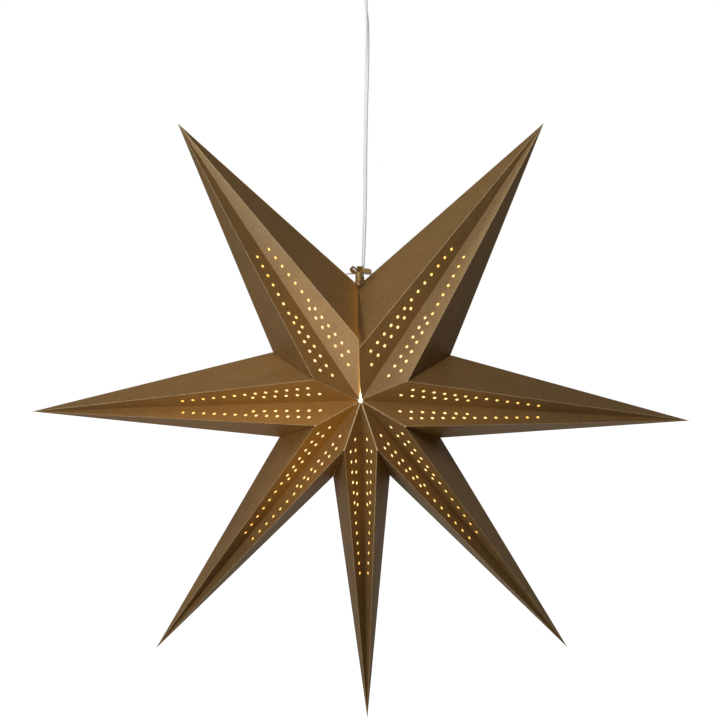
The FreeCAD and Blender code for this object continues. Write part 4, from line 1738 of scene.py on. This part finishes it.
@dataclass
class RibbonTie:
    """Satin ribbon round the flex at the open joint: collar, knot, two loops, stub and tail."""

    width: float = 6.0
    thickness: float = 0.45
    knot: tuple[float, float, float] = (-2.6, -6.4, 125.2)
    knot_height: float = 16.2
    knot_radius: float = 4.5
    wrap: float = 5.2

    def place(self, right: float, back: float, up: float) -> Array:
        """A place in millimetres about the star's middle."""
        return STAR_MIDDLE + np.array([right, back, up]) * MM

    def knot_surface(self) -> Surface:
        """Barrel of wound ribbon: wraps are a cosine of the height, pleats one of the turn.

        Returns:
            The knot.
        """
        share = np.linspace(0, 1, 40)
        bulge = self.knot_radius * (0.74 + 0.26 * np.sin(math.pi * share) ** 0.5
                                    - 0.1 * share)
        side = np.stack([bulge, share * self.knot_height], axis=1)
        profile = np.concatenate([[[0.0, 0.0]], side, [[0.0, self.knot_height]]]) * MM

        def wraps(turn: Array, height: Array) -> Array:
            """Two crossing wraps with fine pleats.

            Args:
                turn: Turn about the axis.
                height: Height above the surface's foot or the star's middle.

            Returns:
                What it adds to the radius.
            """
            rise = height / MM
            lean = rise + 0.9 * np.sin(turn + 0.6)
            return MM * (0.2 * np.cos(2 * math.pi * lean / self.wrap)
                         + 0.1 * np.cos(7 * turn + 0.8 * rise) - 0.15)
        surface = turned_surface(profile, self.place(*self.knot), 96, wraps)
        around = np.arctan2(*(surface.points - self.place(*self.knot)).T[[1, 0]])
        surface.flat = np.stack([surface.points[:, 2], around * self.knot_radius * MM], axis=1)
        return surface

    def loop(self, base: tuple[float, float, float], heading: float, length: float,
             height: float, tilt: float, droop: float) -> Surface:
        """Loop of ribbon: base + L (1 - cos t)/2 along its heading + H sin t across it.

        Args:
            base: Where it leaves the knot, in millimetres about the star's middle.
            heading: Direction seen from the front, in degrees from the right.
            length: From the knot to the loop's end.
            height: Half its opening.
            tilt: How far its face turns to the front, in degrees.
            droop: How far its end bends down.

        Returns:
            The loop.
        """
        t = np.linspace(0.12, 2 * math.pi - 0.12, 72)
        angle = math.radians(heading)
        along = np.array([math.cos(angle), 0.0, math.sin(angle)])
        across = np.array([-math.sin(angle), 0.0, math.cos(angle)])
        run = length * (1 - np.cos(t)) / 2
        rise = height * np.sin(t) * (0.55 + 0.45 * run / length)
        line = (self.place(*base) + (run[:, None] * along + rise[:, None] * across
                                     - droop * (run / length)[:, None] ** 2 * UP) * MM)
        lean = math.radians(tilt) + 0.25 * np.sin(t)
        half = self.width / 2 * (0.62 + 0.38 * smooth_step(run, 0.0, 0.55 * length))
        width = np.cos(lean)[:, None] * -FRONT + np.sin(lean)[:, None] * across
        return ribbon_surface(line, width * half[:, None] * MM, self.thickness * MM)

    def strip(self, start: tuple[float, float, float], end: tuple[float, float, float],
              bend: tuple[float, float, float], across: tuple[float, float, float]) -> Surface:
        """Free end of ribbon along a quadratic curve: (1-t)^2 A + 2t(1-t) B + t^2 C.

        Args:
            start: Place A, in millimetres about the star's middle.
            end: Place C.
            bend: Place B.
            across: Half-width vector, in half widths of the ribbon.

        Returns:
            The strip.
        """
        t = np.linspace(0, 1, 24)[:, None]
        line = quadratic(t, self.place(*start), self.place(*bend), self.place(*end))
        half = np.array(across) * self.width / 2 * MM
        lift = UP * 0.14 * MM * np.sin(t * 5)
        return ribbon_surface(line, half + lift, self.thickness * MM)

    def collar(self) -> Surface:
        """Ribbon wound once round the flex, behind the knot: an ellipse round the axis.

        Returns:
            The collar.
        """
        t = np.linspace(0, 2 * math.pi, 64)
        ring = np.stack([2.2 * np.cos(t) + 1.1, 3.0 * np.sin(t), 0 * t + 132.5], axis=1)
        across = np.tile(np.array([0.05, 0.0, 1.0]) * 2.4 * MM, (len(t), 1))
        return ribbon_surface(STAR_MIDDLE + ring * MM, across, 2 * self.thickness * MM)

    def build(self, finishes: Finishes) -> Object:
        """The whole tie as one piece.

        Args:
            finishes: The lantern's materials.

        Returns:
            The ribbon.
        """
        parts = [
            self.knot_surface(), self.collar(),
            self.loop((-1.8, -6.6, 141.0), 3.0, 13.6, 2.2, 34.0, 1.4),
            self.loop((-3.4, -6.2, 139.4), 140.0, 10.4, 2.6, 34.0, 0.0),
            self.strip((-1.8, -5.0, 139.0), (-1.4, -9.6, 147.4), (-1.8, -6.0, 144.6),
                       (1.12, 0.1, 0.0)),
            self.strip((-3.0, -6.4, 138.8), (-17.0, -5.8, 138.4), (-10.0, -7.0, 139.6),
                       (0.0, 0.96, 0.16)),
        ]
        piece = joined(parts).to_object("tie_ribbon", [finishes.ribbon], 60.0)
        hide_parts("joint_ribbon")
        return piece


@dataclass
class CeilingFitting:
    """Cup on the ceiling that hides the flex's joint, its gland, and the screwed plate."""

    radius: float = 33.0
    height: float = 34.0
    neck: float = 11.0
    wall: float = 1.8
    gland: float = 6.5
    gland_drop: float = 9.6
    flange: float = 9.0
    bore: float = 2.7

    def build(self, finishes: Finishes) -> list[Object]:
        """Cup and gland as turned shells, and the plate of the source dressed as it is.

        Args:
            finishes: The lantern's materials.

        Returns:
            The cup, the gland and the plate.
        """
        low, wide, wall = -self.height, self.radius, self.wall
        cup = [(wide, 0.0), (wide, low * 0.35), (wide * 0.78, low * 0.8), (self.neck, low),
               (self.gland, low), (self.gland, low + wall), (self.neck - wall / 2, low + wall),
               (wide * 0.78 - wall, low * 0.8 + wall), (wide - wall, low * 0.35),
               (wide - wall, 0.0)]
        foot, seat = low - self.gland_drop, low + 2 * wall
        gland = [(self.bore, foot), (self.gland * 0.8, foot), (self.flange, low - 1.6),
                 (self.flange, low), (self.gland, low), (self.gland, seat), (self.bore, seat)]
        pieces = []
        for name, outline, ease, node in (("ceiling_cup_shell", cup, 5.0, "ceiling_cup"),
                                          ("flex_gland", gland, 0.7, "cup_gland")):
            profile = rounded_profile(outline[::-1], ease, 8) * MM
            surface = turned_surface(profile, np.zeros(3), 96)
            piece = surface.to_object(name, [finishes.ceiling])
            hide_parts(node)
            pieces.append(piece)
        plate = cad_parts["ceiling_plate"]
        plate.data.materials.clear()
        plate.data.materials.append(finishes.ceiling)
        return pieces + [plate]


# Studio


@dataclass(frozen=True)
class ViewerCamera:
    """The photograph's view: a long lens, a little above the star and looking down."""

    pixel: float = 1.1416 * MM
    focal_pixels: float = 3000.0
    image_pixels: float = 720.0
    sensor: float = 36.0
    above: float = 4.37
    aside: float = -0.553
    star_right: float = 1.19
    star_down: float = 35.03

    def build(self) -> Object:
        """Places the camera so that the star's middle lands where the photograph has it.

        Returns:
            The camera.
        """
        up, side = math.radians(self.above), math.radians(self.aside)
        tilt = np.array([[1, 0, 0], [0, math.cos(up), math.sin(up)],
                         [0, -math.sin(up), math.cos(up)]])
        swing = np.array([[math.cos(side), 0, math.sin(side)], [0, 1, 0],
                          [-math.sin(side), 0, math.cos(side)]])
        view = tilt @ swing
        to_world = np.array([[1, 0, 0], [0, 0, -1], [0, -1, 0]], float)
        place = view.T @ np.array([-self.star_right, -self.star_down, self.focal_pixels])
        place = STAR_MIDDLE + to_world @ place * self.pixel
        axes = (np.array([[1], [-1], [1]]) * view @ to_world.T).T
        data = bpy.data.cameras.new("viewer")
        data.sensor_width = self.sensor
        data.lens = self.focal_pixels / self.image_pixels * self.sensor
        data.clip_end = 100.0
        camera = bpy.data.objects.new("viewer", data)
        camera.matrix_world = Matrix.Translation(Vector(place)) @ Matrix(axes.tolist()).to_4x4()
        bpy.context.scene.collection.objects.link(camera)
        bpy.context.scene.camera = camera
        return camera


@dataclass(frozen=True)
class SoftBox:
    """A plain square studio light that faces the star. Its place is in metres."""

    name: str
    place: tuple[float, float, float]
    power: float
    side: float = 1.0

    def build(self) -> None:
        """Adds the light, turned to the star's middle."""
        data = bpy.data.lights.new(self.name, "AREA")
        data.shape = "SQUARE"
        data.size = self.side
        data.energy = self.power
        light = bpy.data.objects.new(self.name, data)
        light.location = Vector(self.place)
        aim = Vector(STAR_MIDDLE) - light.location
        light.rotation_euler = aim.to_track_quat("-Z", "Y").to_euler()
        bpy.context.scene.collection.objects.link(light)


@dataclass(frozen=True)
class Studio:
    """Pale floor, white surroundings and soft boxes."""

    floor_height: float = -2.4
    floor_half: float = 20.0
    ambient: float = 0.05
    floor_light: float = 0.98
    boxes: tuple[SoftBox, ...] = (
        SoftBox("front_left_box", (-1.55, -2.33, -0.51), 31.0),
        SoftBox("front_top_box", (0.0, -2.24, 1.17), 31.0),
        SoftBox("upper_left_box", (-2.02, -0.14, 1.42), 22.0),
    )

    def build(self) -> None:
        """Builds the world, the floor and the lights."""
        scene = bpy.context.scene
        scene.view_settings.view_transform = "Standard"
        world = bpy.data.worlds.new("studio")
        scene.world = world
        world.use_nodes = True
        tree = world.node_tree
        strength = add_node(tree, "MapRange", {0: self.seen_white(tree), 3: self.ambient, 4: 1.0})
        set_values(tree.nodes["Background"], Color=WHITE, Strength=strength.outputs[0])
        h, z = self.floor_half, self.floor_height
        corners = np.array([[-h, -h, z], [h, -h, z], [h, h, z], [-h, h, z]])
        mesh = bpy.data.meshes.new("floor")
        mesh.from_pydata(corners.tolist(), [], [[0, 1, 2, 3]])
        floor = bpy.data.objects.new("floor", mesh)
        scene.collection.objects.link(floor)
        tree, shader, material = new_material("pale_floor")
        light = math_node(tree, "MULTIPLY", self.seen_white(tree), self.floor_light)
        set_values(shader, Base_Color=colour(236, 236, 234), Roughness=0.9,
                   Emission_Color=WHITE, Emission_Strength=light)
        mesh.materials.append(material)
        for box in self.boxes:
            box.build()

    @staticmethod
    def seen_white(tree: NodeTree) -> NodeSocket:
        """One for rays from the camera, off gloss or through glass, else zero.

        Args:
            tree: The shader tree that gets the nodes.

        Returns:
            The value's socket.
        """
        path = add_node(tree, "LightPath")
        seen = math_node(tree, "MAXIMUM", path.outputs["Is Camera Ray"],
                         path.outputs["Is Glossy Ray"])
        return math_node(tree, "MAXIMUM", seen, path.outputs["Is Transmission Ray"])


def main() -> None:
    """Builds every sub-assembly in order and reports each piece."""
    logging.basicConfig(level=logging.INFO, format="%(message)s")
    ViewerCamera().build()
    Studio().build()
    finishes = Finishes()
    pieces = CardStar().build(finishes)
    pieces += Lamp().build(finishes)
    pieces.append(RibbonTie().build(finishes))
    fittings = CeilingFitting().build(finishes)
    pieces += fittings
    pieces.append(Flex().build(finishes, fittings))
    for piece in pieces:
        log.info("built %s", piece.name)


if __name__ == "__main__":
    main()
